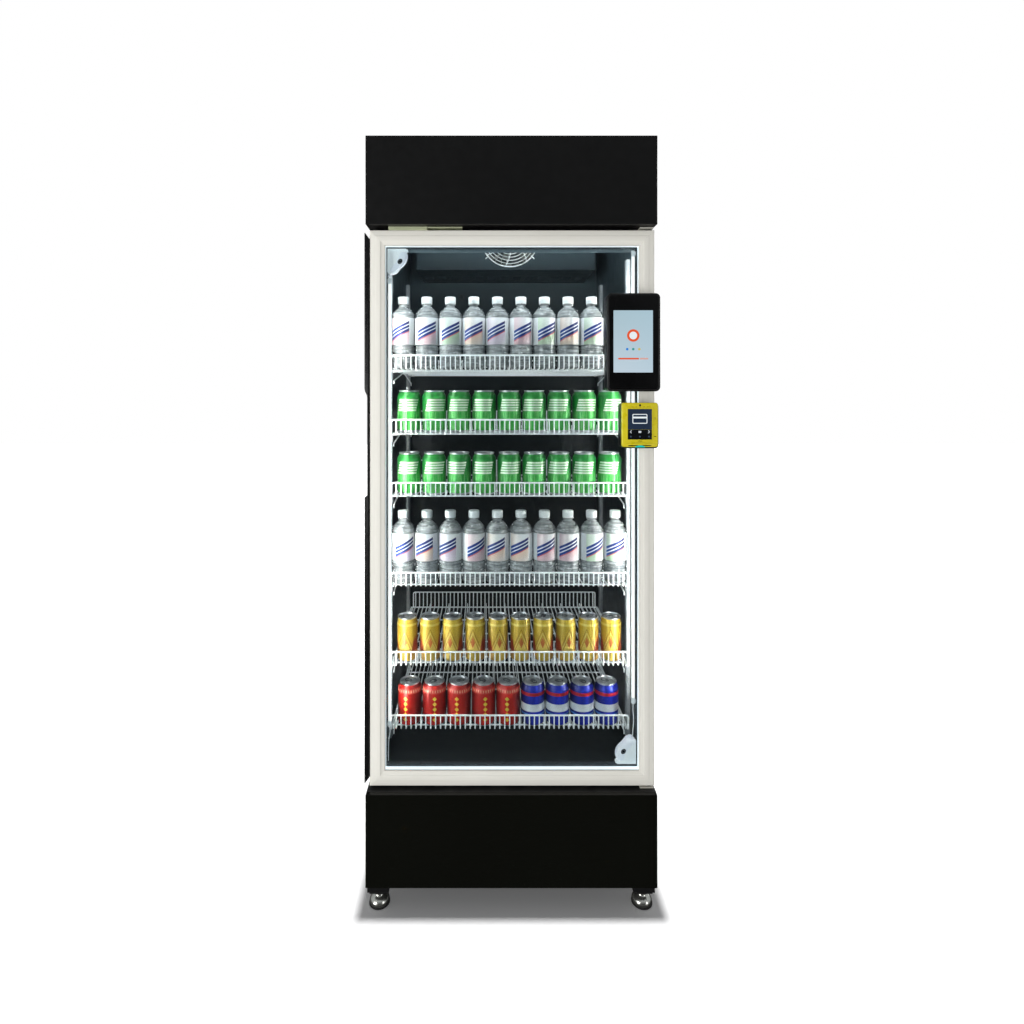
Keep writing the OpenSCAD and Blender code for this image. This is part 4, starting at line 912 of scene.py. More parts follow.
# small sensor windows in the border
bm = bmesh.new()
for x, z, r in ((303.5, 1557.5, 2.0), (353.0, 1347.5, 1.2)):
    prism(bm, [(x + r * math.cos(2 * math.pi * i / 16), z + r * math.sin(2 * math.pi * i / 16)) for i in range(16)], yh - 0.6, yh - 0.4, bevel=0.08)
put("screen_sensor_windows", bm, ["lens"], "door", [])

# what the display shows: plain shapes
yq = yh - 0.55
bm = bmesh.new()
prism(bm, rrect(252.6, 1379.0, 350.6, 1533.6, 0.8, 3), yq, yh - 0.2, mi=0)


def disc(cx, cz, r, mi, n=28, yy=None):
    prism(bm, [(cx + r * math.cos(2 * math.pi * i / n), cz + r * math.sin(2 * math.pi * i / n)) for i in range(n)], (yy if yy else yq - 0.08), yq + 0.02, mi=mi)


def poly_(pts, mi, yy=None):
    prism(bm, pts, (yy if yy else yq - 0.08), yq + 0.02, mi=mi)


# a plain ring, three page dots and a loading bar
cx, cz = 301.7, 1471.0
disc(cx, cz, 15.5, 1, n=48)
disc(cx, cz, 9.6, 5, n=40, yy=yq - 0.14)
disc(cx - 15.0, 1437.0, 3.2, 2)
disc(cx, 1437.0, 3.2, 3)
disc(cx + 15.0, 1437.0, 3.2, 4)
poly_(rrect(264.2, 1411.4, 316.0, 1415.4, 1.8, 4), 1)
poly_(rrect(318.0, 1411.4, 339.2, 1415.4, 1.8, 4), 6)
put("screen_picture", bm, ["display", "g_orange", "g_blue", "g_teal", "g_yellow", "g_white", "g_faint"], "door", [], ang=30)

# ------------------------------------------------------------------ card reader
rx0, rx1, rz0, rz1 = 272.0, 366.0, 1190.0, 1304.0
yr = YD0 - 54
bm = bmesh.new()
prism(bm, rrect(rx0 + 2, rz0, rx1, rz1 - 2, 8, 6), YD0 - 42, YD0 - 0.1, bevel=2.0)
put("reader_housing", bm, ["satin_black"], "door", ["reader_body"], ang=30)
# bezel with a dished lower lip
ol = []
for p in rrect(rx0, rz0 + 4, rx1 - 4, rz1, 6, 6):
    ol.append(p)
bm = bmesh.new()
prism(bm, ol, yr + 1.5, YD0 - 42.05, bevel=2.6)
# raised rim round the screen
rim_o = rrect(283.2, 1209.6, 349.8, 1291.4, 3.0, 5)
rim_i = rrect(286.4, 1212.6, 346.6, 1288.6, 1.6, 5)
v = {}
for key, pts, y in (("a", rim_o, yr + 1.6), ("b", rim_o, yr + 0.5), ("c", [(p[0] * 0.85 + q[0] * 0.15, p[1] * 0.85 + q[1] * 0.15) for p, q in zip(rim_o, rim_i)], yr), ("d", rim_i, yr + 0.2), ("e", rim_i, yr + 1.6)):
    v[key] = [bm.verts.new(V(x, y, z)) for x, z in pts]
ks = ["a", "b", "c", "d", "e"]
for a, b in zip(ks, ks[1:] + ks[:1]):
    n = len(rim_o)
    for k in range(n):
        bm.faces.new([v[a][k], v[a][(k + 1) % n], v[b][(k + 1) % n], v[b][k]])
# lower lip: curved shelf under the card slot
N = 14
lip_rows = []
for dy, zo in ((0, 0), (-4.5, -1.0), (-5.4, -3.0), (-4.8, -5.2), (0, -6.2)):
    row = []
    for i in range(N + 1):
        t = i / N
        x = rx0 + 8 + (rx1 - 12 - rx0 - 0) * t if False else rx0 + 8 + (rx1 - rx0 - 20) * t
        sag = 5.0 * (1 - (2 * t - 1) ** 2)
        row.append(bm.verts.new(V(x, yr + 2.2 + dy * (0.25 + 0.75 * (1 - (2 * t - 1) ** 2)), 1203.5 + zo + sag * 0.35)))
    lip_rows.append(row)
for a, b in zip(lip_rows, lip_rows[1:]):
    for i in range(N):
        bm.faces.new([a[i], a[i + 1], b[i + 1], b[i]])
for e in (0, N):
    bm.faces.new([r[e] for r in lip_rows])
for i in range(N):
    bm.faces.new([lip_rows[-1][i], lip_rows[-1][i + 1], lip_rows[0][i + 1], lip_rows[0][i]])
put("reader_bezel_front", bm, ["yellow"], "door", ["reader_bezel"], ang=32)
bm = bmesh.new()
boxm(bm, 286.6, 346.4, yr + 0.9, yr + 3.4, 1237.5, 1288.4, 0.2, mi=0)
boxm(bm, 286.6, 346.4, yr + 0.9, yr + 3.4, 1212.8, 1237.2, 0.2, mi=1)
yk = yr + 0.85
# plain symbols: the outline of a card with its stripe, three small keys, two arrows
def seg_(x0, z0, x1, z1, w, mi):
    dx, dz = x1 - x0, z1 - z0
    l = math.hypot(dx, dz)
    nx, nz = -dz / l * w / 2, dx / l * w / 2
    prism(bm, [(x0 + nx, z0 + nz), (x1 + nx, z1 + nz), (x1 - nx, z1 - nz), (x0 - nx, z0 - nz)], yk, yk + 0.15, mi=mi)
prism(bm, rrect(298.0, 1252.0, 335.0, 1276.0, 3.0, 5), yk, yk + 0.15, mi=2)
prism(bm, rrect(300.0, 1254.0, 333.0, 1274.0, 1.6, 5), yk - 0.07, yk + 0.15, mi=0)
prism(bm, rrect(300.0, 1265.0, 333.0, 1269.4, 0.3, 2), yk - 0.14, yk + 0.15, mi=2)
for x in (294, 316.5, 339):
    if x == 316.5:
        prism(bm, rrect(x - 3.4, 1235.2 - 6, x + 3.4, 1235.2 - 1.2, 1.0, 4), yk, yk + 0.15, mi=3)
    else:
        s = 1 if x < 300 else -1
        seg_(x + s * 2, 1235.4, x - s * 1.6, 1231.9, 1.5, 3)
        seg_(x + s * 2, 1228.4, x - s * 1.6, 1231.9, 1.5, 3)
for x in (294, 316.5, 339):
    prism(bm, [(x + 2.1 * math.cos(2 * math.pi * i / 14), 1220 + 2.1 * math.sin(2 * math.pi * i / 14)) for i in range(14)], yk, yk + 0.15, mi=4)
put("reader_display", bm, ["reader_lcd", "reader_keys", "g_white", "g_key", "g_dark"], "door", ["reader_screen"], ang=30)
bm = bmesh.new()
prism(bm, [(317 + 2.6 * math.cos(2 * math.pi * i / 18), 1297.6 + 2.6 * math.sin(2 * math.pi * i / 18)) for i in range(18)], yr + 1.2, yr + 2.4, mi=0, bevel=0.3)
for i in range(5):
    boxm(bm, 296 + i * 9.6, 300.6 + i * 9.6, yr + 1.32, yr + 1.9, 1293.0, 1293.8, 0.1, mi=0)
boxm(bm, 353.6, 354.6, yr + 1.32, yr + 1.9, 1262, 1268, 0.1, mi=0)
boxm(bm, 352.0, 357.0, yr + 1.32, yr + 1.9, 1219.5, 1221.0, 0.1, mi=0)
boxm(bm, 312.5, 322.5, yr + 1.32, yr + 1.9, 1208.2, 1210.0, 0.1, mi=0)
# card slot: dark mouth with a lit centre
boxm(bm, 288, 345, yr + 1.2, yr + 2.0, 1196.6, 1198.6, 0.2, mi=0)
seg_lit = [(304 + 0, 1193.6), (308, 1196.8), (314, 1198.2), (320, 1198.2), (326, 1196.8), (330, 1193.6)]
prism(bm, seg_lit, yr - 1.2, yr + 2.2, mi=1, bevel=0.5)
put("reader_details", bm, ["lens", "g_slot"], "door", [], ang=30)

# ------------------------------------------------------------------ shelves in round wire
def arc3(p0, p1, p2, r, n=5):
    """Round the corner p1 between p0 and p2."""
    a, b, c = Vector(p0), Vector(p1), Vector(p2)
    u, w = (a - b).normalized(), (c - b).normalized()
    ang = u.angle(w)
    t = min(r / math.tan(ang / 2), (a - b).length * 0.49, (c - b).length * 0.49)
    s, e = b + u * t, b + w * t
    ctr = b + (u + w).normalized() * (t / math.cos(ang / 2))
    out = []
    for i in range(n + 1):
        k = i / n
        p = s.lerp(e, k)
        d = (p - ctr)
        rr = (s - ctr).length
        out.append(tuple(ctr + d.normalized() * rr))
    return out


def rounded(pts, r, n=5, closed=False):
    out = []
    m = len(pts)
    for i in range(m):
        if not closed and i in (0, m - 1):
            out.append(tuple(pts[i]))
        else:
            out += arc3(pts[i - 1], pts[i], pts[(i + 1) % m], r, n)
    return out


PITCH, SHW, SD = 13.4, 322.0, 460.0


def shelf(idx, z):
    bm = bmesh.new()
    yf_, yb_ = SHELF_Y0 + 2, SHELF_Y0 + SD - 2
    zt, zg = z + 34.6, z + 46
    n = int(SHW * 2 // PITCH)
    x0 = -n * PITCH / 2
    r = 1.75
    for i in range(1, n):
        x = x0 + i * PITCH
        pts = [(x, yb_, zg), (x, yb_, z - 1.9), (x, yf_ - 0.2, z - 1.9), (x, yf_ + 0.3, zt)]
        tube(bm, rounded(pts, 4.5, 3), r, 6)
    # rail: heavier wire with round upper corners that turns down and back along the sides
    e = SHW
    rail = [(-e, yb_ - 6, z - 5.0), (-e, yf_ + 1.2, z - 5.0), (-e, yf_ + 1.2, zt), (e, yf_ + 1.2, zt), (e, yf_ + 1.2, z - 5.0), (e, yb_ - 6, z - 5.0)]
    tube(bm, rounded(rail, 8.0, 6), 2.35, 10)
    # rear guard's top wire
    gd = [(-e + 6, yb_ - 1, z - 4.0), (-e + 6, yb_ - 1, zg), (e - 6, yb_ - 1, zg), (e - 6, yb_ - 1, z - 4.0)]
    tube(bm, rounded(gd, 7.0, 5), 2.0, 8)
    # cross wires under the floor, and one inside the rail at floor level
    for k, y in enumerate((yf_ + 28, yf_ + 112, yf_ + 224, yf_ + 336, yb_ - 4)):
        tube(bm, [(-e, y, z - 5.4), (e, y, z - 5.4)], 2.1, 8)
    # inner edge wires
    for s in (-1, 1):
        tube(bm, rounded([(s * (e - 6.2), yb_, zg - 2), (s * (e - 6.2), yb_, z - 1.9), (s * (e - 6.2), yf_ + 3, z - 1.9)], 4, 3), 1.65, 6)
        # slanted side braces that hook on the slotted uprights
        for ya, yb2 in ((-186.0, -14.0), (198.0, 40.0)):
            p = [(s * (e - 0.6), ya, z - 42), (s * (e - 0.6), ya, z - 33), (s * (e - 0.6), yb2, z - 7.5), (s * (e - 0.6), yb2 + (20 if yb2 > ya else -20), z - 7.4)]
            tube(bm, rounded(p, 5, 3), 1.7, 6)
    put("wire_shelf_%d" % idx, bm, ["white_wire"], "cabinet", ["shelf_%d" % idx], ang=60, recalc=True)


for i, z in enumerate(SHELF_Z):
    shelf(i + 1, z)


def mids(v):
    return [(a + b) / 2 for a, b in zip(v, v[1:])]


bm = bmesh.new()
for k, xs in ((1, X_CAN), (2, X_CAN), (5, X_LOW), (4, X_SLIM)):
    for x in mids(xs):
        z = SHELF_Z[k]
        y0, y1 = SHELF_Y0 + 17, SHELF_Y0 + 395
        tube(bm, rounded([(x, y0, z - 3.2), (x, y0, z + 29.5), (x, y1, z + 29.5), (x, y1, z - 3.2)], 5, 4), 0.8 if k == 5 else 1.15, 6)
put("lane_wires", bm, ["white_wire"], "cabinet", ["lane_dividers"], ang=60)

# ------------------------------------------------------------------ evaporator fan guard
gx, gz, gy = 13.0, 1826.0, 57.0
bm = bmesh.new()
for r in (12, 22, 32, 42, 52, 62, 72, 82, 92):
    tube(bm, [(gx + r * math.cos(2 * math.pi * i / 48), gy + 1.5 - 5 * (1 - (r / 92) ** 2), gz + r * math.sin(2 * math.pi * i / 48)) for i in range(48)], 1.25 if r < 90 else 1.8, 6, closed=True)
for a0 in (35, 80, 125, 170, 215, 260, 305, 350):
    pts = []
    for i in range(10):
        t = i / 9
        r = 10 + 84 * t
        a = math.radians(a0 + 22 * (1 - t))
        pts.append((gx + r * math.cos(a), gy + 3.6 - 5 * (1 - (r / 92) ** 2), gz + r * math.sin(a)))
    tube(bm, pts, 1.3, 6)
for a in (40, 140, 220, 320):
    c_, s_ = math.cos(math.radians(a)), math.sin(math.radians(a))
    tube(bm, rounded([(gx + 88 * c_, gy + 3, gz + 88 * s_), (gx + 101 * c_, gy + 4, gz + 101 * s_), (gx + 101 * c_, gy + 7.6, gz + 101 * s_)], 3, 3), 1.6, 6)
put("fan_guard_wires", bm, ["white_plastic"], "cabinet", ["evaporator_fan_guard"], ang=60)

# small round plug on the rear wall of the chilled space
bm = bmesh.new()
yw = bx("inner_liner")[1][1] - 1.2
n = 28
ringv = []
for r, dy in ((12.0, 0.0), (12.0, -1.4), (11.2, -2.4), (8.2, -2.8), (7.6, -1.6), (4.0, -1.6), (3.6, -3.2), (2.4, -3.8)):
    ringv.append([bm.verts.new(V(-151 + r * math.cos(2 * math.pi * k / n), yw + dy, 1674 + r * math.sin(2 * math.pi * k / n))) for k in range(n)])
for a, b in zip(ringv, ringv[1:]):
    for k in range(n):
        bm.faces.new([a[k], a[(k + 1) % n], b[(k + 1) % n], b[k]])
bm.faces.new(ringv[-1]); bm.faces.new(ringv[0])
put("rear_wall_plug", bm, ["dark_plastic"], "cabinet", [], ang=30)


# ------------------------------------------------------------------ drinks
def can_profile(r, h, neck=5.6):
    lid = r - neck
    p = [(0, 6.5), (r * 0.30, 6.0), (r * 0.5, 4.6), (r - 11.5, 1.6), (r - 9.2, 0.15), (r - 8.2, 0.0), (r - 7.2, 0.25), (r - 5.2, 2.2), (r - 1.6, 6.2), (r - 0.35, 8.6), (r, 11.5),
         (r, h * 0.5), (r, h - 19), (r - 0.5, h - 16), (r - 1.6, h - 13), (lid + 0.2, h - 6.2), (lid - 0.6, h - 4.2), (lid - 0.4, h - 2.9), (lid + 0.5, h - 2.2),
         (lid + 0.75, h - 1.2), (lid + 0.3, h - 0.3), (lid - 0.6, h), (lid - 1.5, h - 0.4), (lid - 2.0, h - 1.6), (lid - 2.6, h - 5.4), (lid - 3.6, h - 6.0), (lid - 4.6, h - 5.2),
         (lid - 5.2, h - 3.8), (lid - 6.2, h - 3.3), (lid - 12, h - 3.3), (0, h - 3.2)]
    # the print covers from the lower chamfer to the shoulder
    mi = []
    for a, b in zip(p, p[1:]):
        zz = (a[1] + b[1]) / 2
        mi.append(0 if (a[0] > r - 6.5 and 4 < zz < h - 3.2 and b[0] > r - 8.5) else 1)
    return p, mi


def tab(bm, cx, cy, z, yaw, r, mi):
    """Pull tab: ring with a finger hole, and a rivet."""
    def T(x, y):
        return (cx + x * math.cos(yaw) - y * math.sin(yaw), cy + x * math.sin(yaw) + y * math.cos(yaw))
    n = 20
    def oval(a, b, oy, zz):
        out = []
        for i in range(n):
            t = 2 * math.pi * i / n
            p = T(a * math.cos(t), oy + b * math.sin(t))
            out.append(bm.verts.new(V(p[0], p[1], z + zz)))
        return out
    k = r / 33.0
    o0, o1, i1, i0 = oval(7.6 * k, 12 * k, 4.5 * k, 0.4), oval(7.4 * k, 11.7 * k, 4.5 * k, 1.7), oval(4.2 * k, 5.0 * k, 8.0 * k, 1.7), oval(4.2 * k, 5.0 * k, 8.0 * k, 0.4)
    for a, b in ((o0, o1), (o1, i1), (i1, i0), (i0, o0)):
        for j in range(n):
            f = bm.faces.new([a[j], a[(j + 1) % n], b[(j + 1) % n], b[j]])
            f.material_index = mi
    # rivet
    c = T(0, -1.0 * k)
    prof = [(3.0 * k, 0.2), (3.0 * k, 2.1), (2.3 * k, 2.6), (0, 2.7)]
    lathe(bm, prof, c[0], c[1], z, 14, mi=[mi] * 3)
    # score line of the opening panel
    pts = []
    for i in range(18):
        t = 2 * math.pi * i / 18
        p = T(9.0 * k * math.cos(t), -12.0 * k + 7.8 * k * math.sin(t))
        pts.append((p[0], p[1], z + 0.05))
    tube(bm, pts, 0.35, 4, closed=True, mi=mi)


def cans(name, xs, z, r, h, print_mat, node, seed, neck=5.6):
    rnd = random.Random(seed)
    bm = bmesh.new()
    uvl = bm.loops.layers.uv.new("UVMap")
    prof, mi = can_profile(r, h, neck)
    for x in xs:
        yaw = rnd.uniform(-0.32, 0.32)
        lathe(bm, prof, x, ROW_Y, z, 44, mi=mi, yaw=yaw, uv=(uvl, r))
        tab(bm, x, ROW_Y, z + h - 3.25, rnd.uniform(-2.6, 2.6), r - neck + 5.6, 2)
    return put(name, bm, [print_mat, "can_metal", "can_tab"], "cabinet", [node], ang=36, recalc=True)


cans("cans_green_upper", X_CAN, SHELF_Z[1], 33.0, 115, "can_green", "cans_green", 11)
cans("cans_green_lower", X_CAN, SHELF_Z[2], 33.0, 115, "can_green", "cans_green", 12)
cans("cans_gold_row", X_SLIM, SHELF_Z[4], 28.0, 122, "can_gold", "cans_gold", 13, 2.0)
cans("cans_red_row", X_LOW[:5], SHELF_Z[5], 33.0, 115, "can_red", "cans_red", 14)
cans("cans_blue_row", X_LOW[5:], SHELF_Z[5], 33.0, 115, "can_blue", "cans_blue", 15)

BR, BH = 32.4, 202.0
BPROF = [(0, 6.5), (8, 6.0), (15, 3.4), (20.2, 0.6), (23.2, 0.0), (26.2, 0.6), (29.8, 3.6), (31.6, 8.0), (32.2, 12), (31.6, 16), (30.4, 19), (31.8, 22), (32.2, 26), (31.4, 30), (30.6, 33),
         (31.8, 36), (32.2, 41), (31.6, 45), (30.6, 48), (31.8, 51), (32.2, 55), (31.6, 59), (29.8, 61.5), (29.6, 63), (31.2, 65), (31.9, 67), (31.9, 137.5), (32.3, 139.5), (32.3, 143),
         (31.5, 147.5), (29.6, 152.5), (26.6, 157.5), (22.8, 162.5), (18.6, 166.4), (15.2, 168.8), (13.2, 170.6), (12.4, 172.6), (12.4, 174.8), (15.4, 175.4), (15.5, 176.8), (12.6, 177.4), (12.6, 179.4),
         (12.6, 180), (0, 180)]


def facet(r, z, a):
    """Upright panels below the label, and soft flutes on the shoulder."""
    if 10 < z < 61:
        return r - 0.85 * (0.5 + 0.5 * math.cos(8 * a)) * math.sin(math.pi * (z - 10) / 51)
    if 144 < z < 170:
        return r - 0.7 * (0.5 + 0.5 * math.cos(6 * a)) * math.sin(math.pi * (z - 144) / 26)
    return r


def bottles(name, z, seed, tints):
    rnd = random.Random(seed)
    bm, lb, cp = bmesh.new(), bmesh.new(), bmesh.new()
    uvl = lb.loops.layers.uv.new("UVMap")
    col = lb.loops.layers.color.new("tint")
    for i, x in enumerate(X_BOT):
        yaw = rnd.uniform(-0.30, 0.30)
        lathe(bm, BPROF, x, ROW_Y, z, 48, yaw=yaw, squeeze=facet)
        before = len(lb.faces)
        lathe(lb, [(32.0, 64.6), (32.3, 65.0), (32.3, 138.0), (32.0, 138.4)], x, ROW_Y, z, 56, yaw=yaw, uv=(uvl, 32.3))
        lb.faces.ensure_lookup_table()
        t = tints[i % len(tints)]
        for f in lb.faces[before:]:
            for lp in f.loops:
                lp[col] = t
        # knurled cap with its tamper ring
        def knurl(r, zz, a):
            return r + (0.22 * math.cos(60 * a) if 182.2 < zz < 195.6 and r > 14 else 0)
        lathe(cp, [(13.6, 178.8), (14.5, 178.8), (14.8, 179.4), (14.8, 181.0), (14.4, 181.4), (14.4, 181.9), (14.8, 182.4), (14.8, 195.4), (14.4, 196.8), (13.4, 197.6), (11.8, 197.9), (0, 197.9)],
              x, ROW_Y, z, 120, yaw=yaw, squeeze=knurl)
    b = put(name + "_bodies", bm, ["bottle"], "cabinet", ["bottles"], ang=50)
    l_ = put(name + "_labels", lb, ["label"], "cabinet", [], ang=50)
    c_ = put(name + "_caps", cp, ["cap"], "cabinet", [], ang=40)
    return b, l_, c_


PINK, GREEN, ORANGE, LILAC = C(238, 190, 202), C(196, 226, 178), C(244, 216, 188), C(226, 204, 226)
bottles("bottles_upper", SHELF_Z[0], 21, [PINK, PINK, GREEN, ORANGE, LILAC, PINK, GREEN, ORANGE, GREEN, GREEN])
bottles("bottles_lower", SHELF_Z[3], 22, [LILAC, ORANGE, LILAC, PINK, ORANGE, ORANGE, PINK, PINK, GREEN, GREEN])

# ------------------------------------------------------------------ levelling feet
FX, FY = 342.0, 293.0
FEET = {"foot_front_left": (-FX, -FY), "foot_front_right": (FX, -FY), "foot_rear_left": (-FX, FY), "foot_rear_right": (FX, FY)}
for nm, (x, y) in FEET.items():
    bm = bmesh.new()
    # chrome bell
    lathe(bm, [(0, 5.2), (24.9, 5.2), (25.7, 5.7), (25.9, 8.2), (25.4, 12.0), (23.6, 16.0), (20.4, 19.4), (16.6, 21.8), (13.4, 23.6), (11.6, 25.6), (11.0, 28.0), (11.0, 29.8), (0, 29.8)], x, y, 0, 56, mi=[0] * 12)
    # rubber ring
    lathe(bm, [(0, 0), (24.0, 0), (26.0, 0.4), (26.9, 1.4), (26.9, 3.2), (26.3, 4.4), (25.0, 5.0), (0, 5.0)], x, y, 0, 56, mi=[1] * 7)
    # hexagonal nut, chamfered
    lathe(bm, [(0, 29.9), (11.6, 29.9), (12.6, 30.8), (12.6, 36.4), (11.4, 37.3), (0, 37.3)], x, y, 0, 6, mi=[0] * 5, yaw=0.3)
    # threaded stud
    th = [(0, 37.35), (4.2, 37.35)]
    zz = 37.6
    while zz < 87:
        th += [(4.35, zz), (4.95, zz + 0.6), (4.35, zz + 1.2)]
        zz += 1.5
    th += [(4.2, 88), (0, 88)]
    lathe(bm, th, x, y, 0, 20, mi=[2] * (len(th) - 1))
    put(nm + "_bell", bm, ["foot_chrome", "rubber", "steel"], nm, [nm], ang=34)

# ------------------------------------------------------------------ stage, light and camera
def stage_mesh(name, verts, faces, mat):
    me = bpy.data.meshes.new(name)
    me.from_pydata(verts, [], faces)
    me.materials.append(mat)
    ob = bpy.data.objects.new(name, me)
    SC.collection.objects.link(ob)
    return ob


g = G("mat_floor")
fc = g.mix(g.rng(g.noise(1.5, 3), 0.3, 0.7, 0, 1), (0.90, 0.90, 0.90, 1), (0.92, 0.92, 0.92, 1))
pp = g.xyz(g.n("ShaderNodeNewGeometry").outputs["Position"])
# painted light: for camera rays the floor glows, faintly over the footprint and up to white away from the object, which
# sets the shadow's tone and reach
dx_ = g.mx(g.sub(g.abs(pp[0]), 0.37), 0.0)
dy_ = g.mx(g.sub(g.abs(g.sub(pp[1], 0.01)), 0.35), 0.0)
dd = g.math("SQRT", g.add(g.mul(dx_, dx_), g.mul(dy_, dy_)))
lpf = g.n("ShaderNodeLightPath")
seen = lpf.outputs["Is Camera Ray"]
painted_floor_glow = g.mul(g.add(g.mul(g.rng(dd, 0.045, 0.30, 0.0, 1.0), 0.82), 0.08), seen)
# reflections and bounced light see a darker floor than the camera does
fc = g.mix(lpf.outputs["Is Glossy Ray"], fc, (0.05, 0.05, 0.05, 1))
fc = g.mix(lpf.outputs["Is Diffuse Ray"], fc, (0.35, 0.35, 0.35, 1))
floor_mat = g.done(g.bsdf(color=fc, rough=0.9, spec=0.0, emis=(1, 1, 1, 1), estr=painted_floor_glow))
S = 14.0
stage_mesh("floor", [(-S, -S, 0), (S, -S, 0), (S, S, 0), (-S, S, 0)], [(0, 1, 2, 3)], floor_mat)

w = bpy.data.worlds.new("studio")
SC.world = w
w.use_nodes = True
nt = w.node_tree
nt.nodes.clear()
wo = nt.nodes.new("ShaderNodeOutputWorld")
lp = nt.nodes.new("ShaderNodeLightPath")
tc = nt.nodes.new("ShaderNodeTexCoord")
sp = nt.nodes.new("ShaderNodeSeparateXYZ")
nt.links.new(tc.outputs["Generated"], sp.inputs[0])


def wmath(op, a, b):
    x = nt.nodes.new("ShaderNodeMath")
    x.operation = op
    for s, v_ in ((x.inputs[0], a), (x.inputs[1], b)):
        if isinstance(v_, (int, float)):
            s.default_value = v_
        else:
            nt.links.new(v_, s)
    return x.outputs[0]


bg_cam = nt.nodes.new("ShaderNodeBackground")
bg_cam.inputs[0].default_value = (1, 1, 1, 1)
bg_cam.inputs[1].default_value = 1.0
bg_dif = nt.nodes.new("ShaderNodeBackground")
bg_dif.inputs[0].default_value = (0.97, 0.985, 1, 1)
bg_dif.inputs[1].default_value = 0.22
bg_gls = nt.nodes.new("ShaderNodeBackground")
bg_gls.inputs[0].default_value = (0.93, 0.97, 1, 1)
# reflections see a darker studio that brightens overhead and to the sides
up = wmath("MAXIMUM", sp.outputs[2], 0.0)
side = wmath("POWER", wmath("ABSOLUTE", sp.outputs[0], 0.0), 3.0)
nt.links.new(wmath("ADD", wmath("ADD", wmath("MULTIPLY", wmath("POWER", up, 2.0), 0.9), 0.03), wmath("MULTIPLY", side, 0.6)), bg_gls.inputs[1])
m1 = nt.nodes.new("ShaderNodeMixShader")
nt.links.new(lp.outputs["Is Glossy Ray"], m1.inputs[0])
nt.links.new(bg_dif.outputs[0], m1.inputs[1])
nt.links.new(bg_gls.outputs[0], m1.inputs[2])
m2 = nt.nodes.new("ShaderNodeMixShader")
nt.links.new(lp.outputs["Is Camera Ray"], m2.inputs[0])
nt.links.new(m1.outputs[0], m2.inputs[1])
nt.links.new(bg_cam.outputs[0], m2.inputs[2])
nt.links.new(m2.outputs[0], wo.inputs[0])


def area(name, loc, target, size, energy, col=(1, 1, 1)):
    l = bpy.data.lights.new(name, "AREA")
    l.shape = "RECTANGLE"
    l.size, l.size_y = size
    l.energy = energy
    l.color = col
    ob = bpy.data.objects.new(name, l)
    ob.location = loc
    ob.rotation_euler = (Vector(target) - Vector(loc)).to_track_quat("-Z", "Y").to_euler()
    SC.collection.objects.link(ob)
    return ob


# two front softboxes light only the object; the overhead one makes the shadow
stage_col = bpy.data.collections.new("lit_by_front_lights")
for ob in SC.collection.objects:
    if ob.type == "MESH" and ob.name != "floor" and not ob.name.startswith("insulating_glass"):
        stage_col.objects.link(ob)
for ob in NODES.values():
    if ob.name not in stage_col.objects and not ob.name.startswith("insulating_glass"):
        stage_col.objects.link(ob)
lights = [area("key_left", (-2.6, -2.9, 0.95), (0, -0.3, 1.0), (1.5, 2.2), 112),
          area("fill_right", (2.7, -2.6, 0.95), (0, -0.3, 1.0), (1.0, 2.2), 26),
          area("back_left", (-2.4, 2.9, 2.3), (0, 0.2, 1.0), (1.4, 1.8), 70),
          area("back_right", (2.8, 2.3, 2.3), (0, 0.2, 1.0), (1.4, 1.8), 70)]
for l_ in lights:
    l_.light_linking.receiver_collection = stage_col
lamp_col = bpy.data.collections.new("lit_by_lamps")
dark_side = ("door_frame", "door_gasket", "door_handle", "glass_spacer", "lamp_end_caps", "screen_", "reader_", "hinge_", "armature", "insulating_glass", "floor")
for ob in list(SC.collection.objects) + list(NODES.values()):
    if ob.type == "MESH" and not ob.name.startswith(dark_side) and ob.name not in lamp_col.objects:
        lamp_col.objects.link(ob)
bpy.data.objects["lamp_tubes"].light_linking.receiver_collection = lamp_col
floor_col = bpy.data.collections.new("lit_from_above")
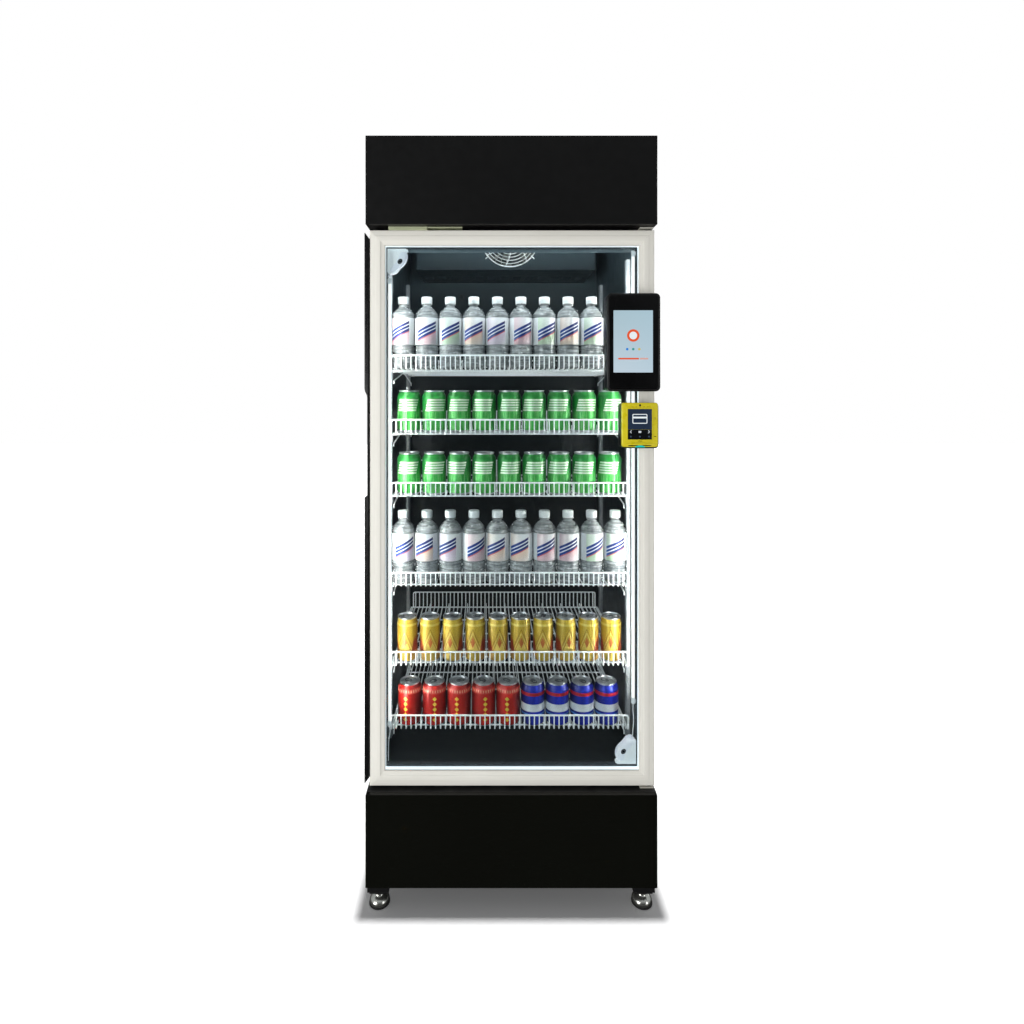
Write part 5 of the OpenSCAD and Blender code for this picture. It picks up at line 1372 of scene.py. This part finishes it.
for ob in SC.collection.objects:
    if ob.name == "floor":
        floor_col.objects.link(ob)
so = area("overhead", (0, -0.15, 30.0), (0, -0.15, 0), (0.50, 0.50), 10180)
so.data.shape = "ELLIPSE"
so.light_linking.receiver_collection = floor_col
# its soft shadow comes from the cabinet's shell, header and base
shade_col = bpy.data.collections.new("casts_the_soft_shadow")
for nm in ("outer_shell", "header_shell", "base_frame", "base_front_panel"):
    shade_col.objects.link(NODES[nm])
so.light_linking.blocker_collection = shade_col
# soft strips inside the door opening, near its top
inner = [area("inner_down", (0, -0.255, 1.69), (0, 0.35, 1.20), (0.60, 0.05), 1.4, (0.95, 0.98, 1.0)),
         area("inner_up", (0, -0.255, 1.66), (0, 0.10, 1.90), (0.60, 0.05), 0.5, (0.95, 0.98, 1.0))]
for l_ in inner:
    l_.light_linking.receiver_collection = lamp_col
    l_.visible_camera = False
    l_.visible_glossy = False

cam = bpy.data.cameras.new("camera")
co = bpy.data.objects.new("camera", cam)
SC.collection.objects.link(co)
SC.camera = co
CX, CY, CZ = -0.067, -1.840, 1.323
co.location = (CX, CY, CZ)
co.rotation_euler = (math.radians(90), 0, 0)
cam.sensor_width = 36.0
cam.lens = 592.5 / 1024 * 36.0
cam.clip_start, cam.clip_end = 0.05, 60
# the off-centre framing only belongs to the front viewpoint
for attr, val in (("shift_x", (512 - 485) / 1024), ("shift_y", (395 - 512) / 1024)):
    fc_ = cam.driver_add(attr)
    d = fc_.driver
    d.type = "SCRIPTED"
    for nm, ch in (("lx", "LOC_X"), ("ly", "LOC_Y")):
        vv = d.variables.new()
        vv.name = nm
        vv.type = "TRANSFORMS"
        vv.targets[0].id = co
        vv.targets[0].transform_type = ch
        vv.targets[0].transform_space = "WORLD_SPACE"
    d.expression = "%.6f if abs(lx - %.4f) < 0.002 and abs(ly - %.4f) < 0.002 else 0.0" % (val, CX, CY)

SC.view_settings.view_transform = "Standard"
SC.view_settings.look = "None"
SC.view_settings.exposure = 0.0
SC.view_settings.gamma = 1.0

bpy.context.view_layer.update()
